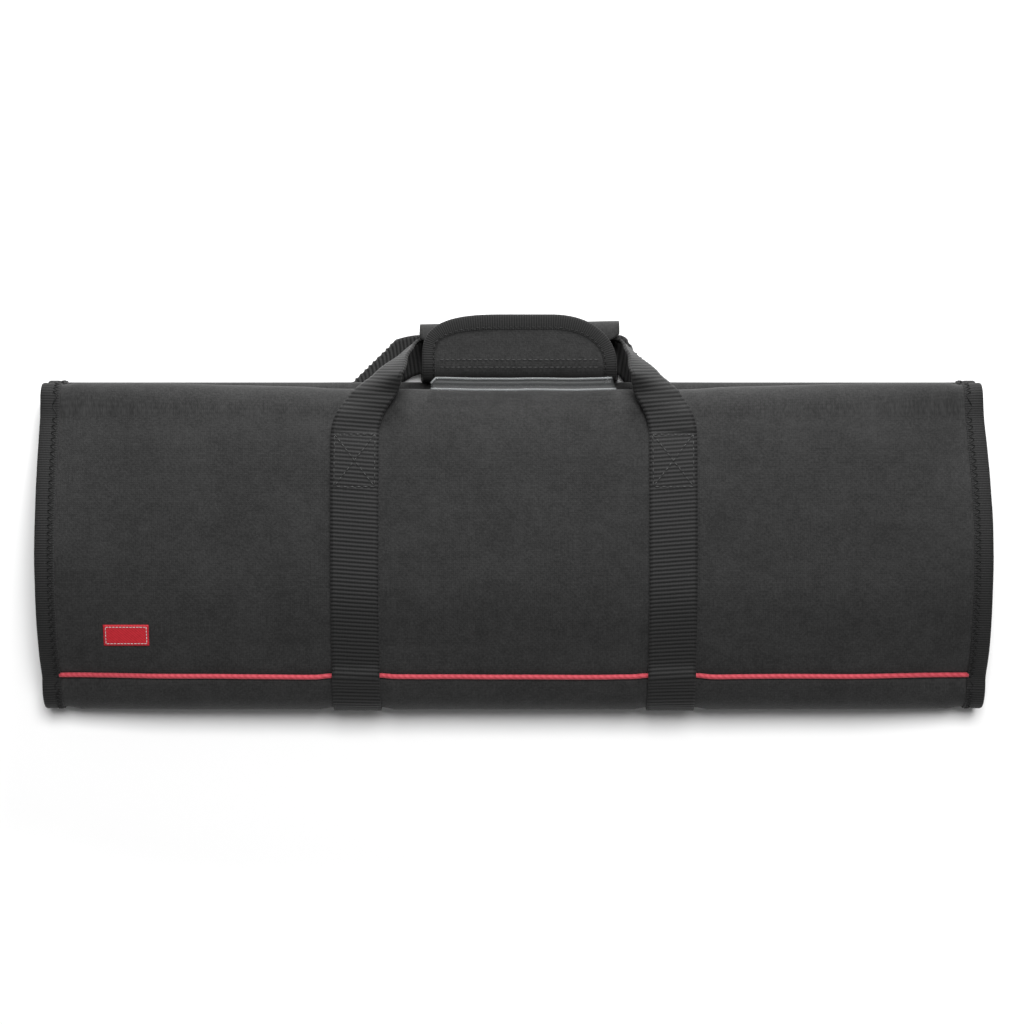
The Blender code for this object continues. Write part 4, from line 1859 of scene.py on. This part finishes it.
    def build(self) -> bpy.types.Object:
        """Builds and dresses the webbing, with its ribs in the mesh.

        Returns:
            The piece.
        """
        rows, shares = self.rows(), self.shares
        pitch = self.rib / self.rows_per_rib
        vs = [(i + 0.5) * pitch for i in range(len(rows))]
        us = [s * self.roll.webbing_width / 2 for s in shares]
        name = self.loop.value + "_strap"
        piece = link(bpy.data.objects.new(name, grid_mesh(name, rows, us, vs)))
        group = piece.vertex_groups.new(name="ribs")
        across = len(shares)
        for phase in range(self.rows_per_rib):
            ridge = math.sin(math.pi * (phase + 0.5) / self.rows_per_rib) ** 0.8
            members = [
                column * len(rows) + row
                for row in range(phase, len(rows), self.rows_per_rib) for column in range(across)
            ]
            group.add(members, self.groove + (1 - self.groove) * ridge, "REPLACE")
        add_wall(piece, self.roll.webbing * self.rib_swell, "ribs")
        return WEBBING.dress(piece, self.loop.value)


# Strap stitching

@dataclass
class StrapStitching:
    """A box with a cross in it that fastens each front strap below its last stitch."""

    roll: RollShape
    top: float = 58.2 * MM
    height: float = 27 * MM
    half_width: float = 10.6 * MM
    sunk: float = 0.05 * MM

    def build(self) -> bpy.types.Object:
        """Builds and dresses the stitches of both straps.

        Returns:
            The piece.
        """
        roll, stitching = self.roll, Stitching(stitch=2.4 * MM, thread=0.6 * MM)
        bottom = self.top - self.height
        lift = roll.wall / 2 + roll.gap + roll.webbing - self.sunk
        lines = []
        for side in (-1, 1):
            outer, inner = (side * roll.strap_x + way * self.half_width for way in (-1, 1))
            box = [(outer, self.top), (inner, self.top), (inner, bottom), (outer, bottom)]
            runs = [*zip(box, box[1:] + box[:1]), (box[0], box[2]), (box[1], box[3])]
            lines += stitching.on_front(roll, runs, 24, lift)
        return THREAD.dress(cord("strap_stitches", lines, stitching.thread, 1, 0.7))


# Card sleeve and label

@dataclass
class CardSleeve:
    """Clear film on the front fold, bent over towards the grip, with a welded bead on each long edge."""

    roll: RollShape
    width: float = 97 * MM
    shift: float = 5 * MM
    film: float = 0.5 * MM
    leg: float = 7 * MM
    lean: float = 1.4 * MM
    reach: float = 6.4 * MM
    drop: float = 2.4 * MM
    chamfer: float = 2.6 * MM
    bead: float = 1.0 * MM
    bead_lift: float = 0.2 * MM
    corner_share: float = 0.9
    splay: float = 1.0 * MM
    splay_part: float = 12.0

    def outline(self, x: float) -> list[Vector]:
        """Works out the film's section.

        Args:
            x: the place along the roll.

        Returns:
            The points, from the foot of its leg to its far edge.
        """
        roll = self.roll
        ridge = roll.place(x, roll.front_fold + 3, roll.wall / 2)
        top = roll.place(x, roll.front_outer - 1, roll.wall / 2).z + roll.gap
        y = ridge.y + roll.gap + self.film / 2
        high = max(top, ridge.z + self.leg)
        crest = y - self.lean
        return [
            Vector((x, y, ridge.z)),
            Vector((x, crest, high - self.film)),
            Vector((x, crest + 0.3 * self.film, high - 0.3 * self.film)),
            Vector((x, crest + self.film, high)),
            Vector((x, crest + self.reach / 2, high - 0.45 * self.drop)),
            Vector((x, crest + self.reach, high - self.drop)),
        ]

    def build(self) -> bpy.types.Object:
        """Builds and dresses the film and its beads.

        Returns:
            The film.
        """
        left, right = self.shift - self.width / 2, self.shift + self.width / 2
        xs = [left, left + self.chamfer / 2] + spread(left + self.chamfer, right, 48)
        outlines = [self.outline(x) for x in xs]
        for points, x in zip(outlines, xs):
            cut = max(0.0, 1 - (x - left) / self.chamfer)
            splayed = max(0.0, 1 - self.splay_part * (right - x) / self.width)
            points[5] = points[5].lerp(points[4], self.corner_share * cut)
            for i in (4, 5):
                points[i].x -= self.splay * (i - 3) * splayed
        us = lengths_along(outlines[0])
        piece = cloth("card_sleeve_film", outlines, us, xs, self.film)
        VINYL.dress(piece, "card_sleeve")
        lines = [[p[3] + Vector((0, 0, self.bead_lift)) for p in outlines], [p[5] for p in outlines]]
        VINYL_BEAD.dress(cord("card_sleeve_beads", lines, self.bead, 2))
        return piece


@dataclass
class WovenLabelPatch:
    """A plain woven label with a light thread border, on the front near the left end."""

    roll: RollShape
    from_end: float = 47 * MM
    rise: float = 41 * MM
    width: float = 24 * MM
    height: float = 11 * MM
    thickness: float = 0.6 * MM
    border_inset: float = 1.2 * MM

    def build(self) -> bpy.types.Object:
        """Builds and dresses the label and its border.

        Returns:
            The label.
        """
        roll = self.roll
        x0, y0 = self.from_end - roll.width / 2, self.rise - roll.half
        offset = roll.wall / 2 + self.thickness / 2
        xs = spread(x0 - self.width / 2, x0 + self.width / 2, 24)
        ts = [roll.t_front(round(y, 6)) for y in spread(y0 + self.height / 2, y0 - self.height / 2, 12)]
        rows = [[roll.place(x, t, offset) for x in xs] for t in ts]
        run = lengths_along([row[0] for row in rows])
        piece = cloth("blank_label_patch", rows, xs, run, self.thickness)
        LABEL.dress(piece, "blank_label")
        self.sew(x0, y0)
        return piece

    def sew(self, x0: float, y0: float) -> None:
        """Sews the border.

        Args:
            x0: the label's middle.
            y0: the label's middle.
        """
        stitching = Stitching(stitch=1.3 * MM, gap=0.4 * MM, thread=0.4 * MM)
        across, up = self.width / 2 - self.border_inset, self.height / 2 - self.border_inset
        ways = ((-1, 1), (1, 1), (1, -1), (-1, -1), (-1, 1))
        box = [(x0 + a * across, y0 + b * up) for a, b in ways]
        lift = self.roll.wall / 2 + self.thickness
        lines = stitching.on_front(self.roll, zip(box, box[1:]), 12, lift)
        LABEL_BORDER.dress(cord("blank_label_border", lines, stitching.thread, 1, 0.8))


# Studio

@dataclass
class Studio:
    """White paper that sweeps up all round, a high soft light, a low one behind, and the camera."""

    floor_size: float = 12.0
    flat_radius: float = 3.0
    sweep_height: float = 2.4
    camera_place: Vector = field(default_factory=lambda: Vector((-0.001, 0.0182, 1.300)))
    lens: float = 84.46
    sensor: float = 36.0
    key_place: Vector = field(default_factory=lambda: Vector((0.26, 1.02, 2.70)))
    key_size: float = 1.3
    key_power: float = 96.0
    back_place: Vector = field(default_factory=lambda: Vector((0.02, 0.75, 0.18)))
    back_size: float = 0.34
    back_power: float = 8.0
    world: float = 0.15
    aim: Vector = field(default_factory=lambda: Vector((0, 0.02, 0)))

    def build(self) -> None:
        """Builds the paper, the lights and the camera."""
        shape = bmesh.new()
        bmesh.ops.create_grid(shape, x_segments=96, y_segments=96, size=self.floor_size / 2)
        slope = self.floor_size / 2 - self.flat_radius
        for vertex in shape.verts:
            vertex.co.z = self.sweep_height * ease((vertex.co.xy.length - self.flat_radius) / slope)
        mesh = bpy.data.meshes.new("studio_floor")
        shape.to_mesh(mesh)
        shape.free()
        mesh.shade_smooth()
        floor = link(bpy.data.objects.new("studio_floor", mesh))
        floor.data.materials.append(PAPER.material())
        self.light("key_light", self.key_place, self.key_size, self.key_power)
        self.light("back_light", self.back_place, self.back_size, self.back_power)
        self.surround()
        self.camera()
        LOG.info("studio paper, lights and camera")

    def light(self, name: str, place: Vector, size: float, power: float) -> None:
        """Adds a soft square light that faces the roll.

        Args:
            name: the light's name.
            place: where it stands.
            size: its side.
            power: its power in watts.
        """
        lamp = bpy.data.lights.new(name, "AREA")
        lamp.size = size
        lamp.energy = power
        made = link(bpy.data.objects.new(name, lamp))
        made.visible_camera = False
        made.location = place
        made.rotation_euler = (self.aim - place).to_track_quat("-Z", "Y").to_euler()

    def surround(self) -> None:
        """Fills the room with even white light."""
        world = bpy.data.worlds.new("studio_room")
        world.use_nodes = True
        back = world.node_tree.nodes["Background"]
        back.inputs["Color"].default_value = (1.0, 1.0, 1.0, 1.0)
        back.inputs["Strength"].default_value = self.world
        bpy.context.scene.world = world

    def camera(self) -> None:
        """Places the camera straight above the roll."""
        data = bpy.data.cameras.new("camera")
        data.lens = self.lens
        data.sensor_width = self.sensor
        data.dof.use_dof = False
        made = link(bpy.data.objects.new("camera", data))
        made.location = self.camera_place
        bpy.context.scene.camera = made
        bpy.context.scene.view_settings.view_transform = "Standard"


def main() -> None:
    """Builds the studio and every piece of the roll."""
    logging.basicConfig(level=logging.INFO, format="%(message)s")
    Studio().build()
    panels = ShellPanels(ROLL)
    for panel in Panel:
        panels.build(panel)
    for side in Side:
        EdgeBinding(ROLL, side).build()
    PipedSeam(ROLL).build()
    for loop in Loop:
        CarryWebbing(ROLL, GRIP, loop).build()
    StrapStitching(ROLL).build()
    GripWrap(GRIP).build()
    GripBinding(GRIP).build()
    CardSleeve(ROLL).build()
    WovenLabelPatch(ROLL).build()


if __name__ == "__main__":
    main()
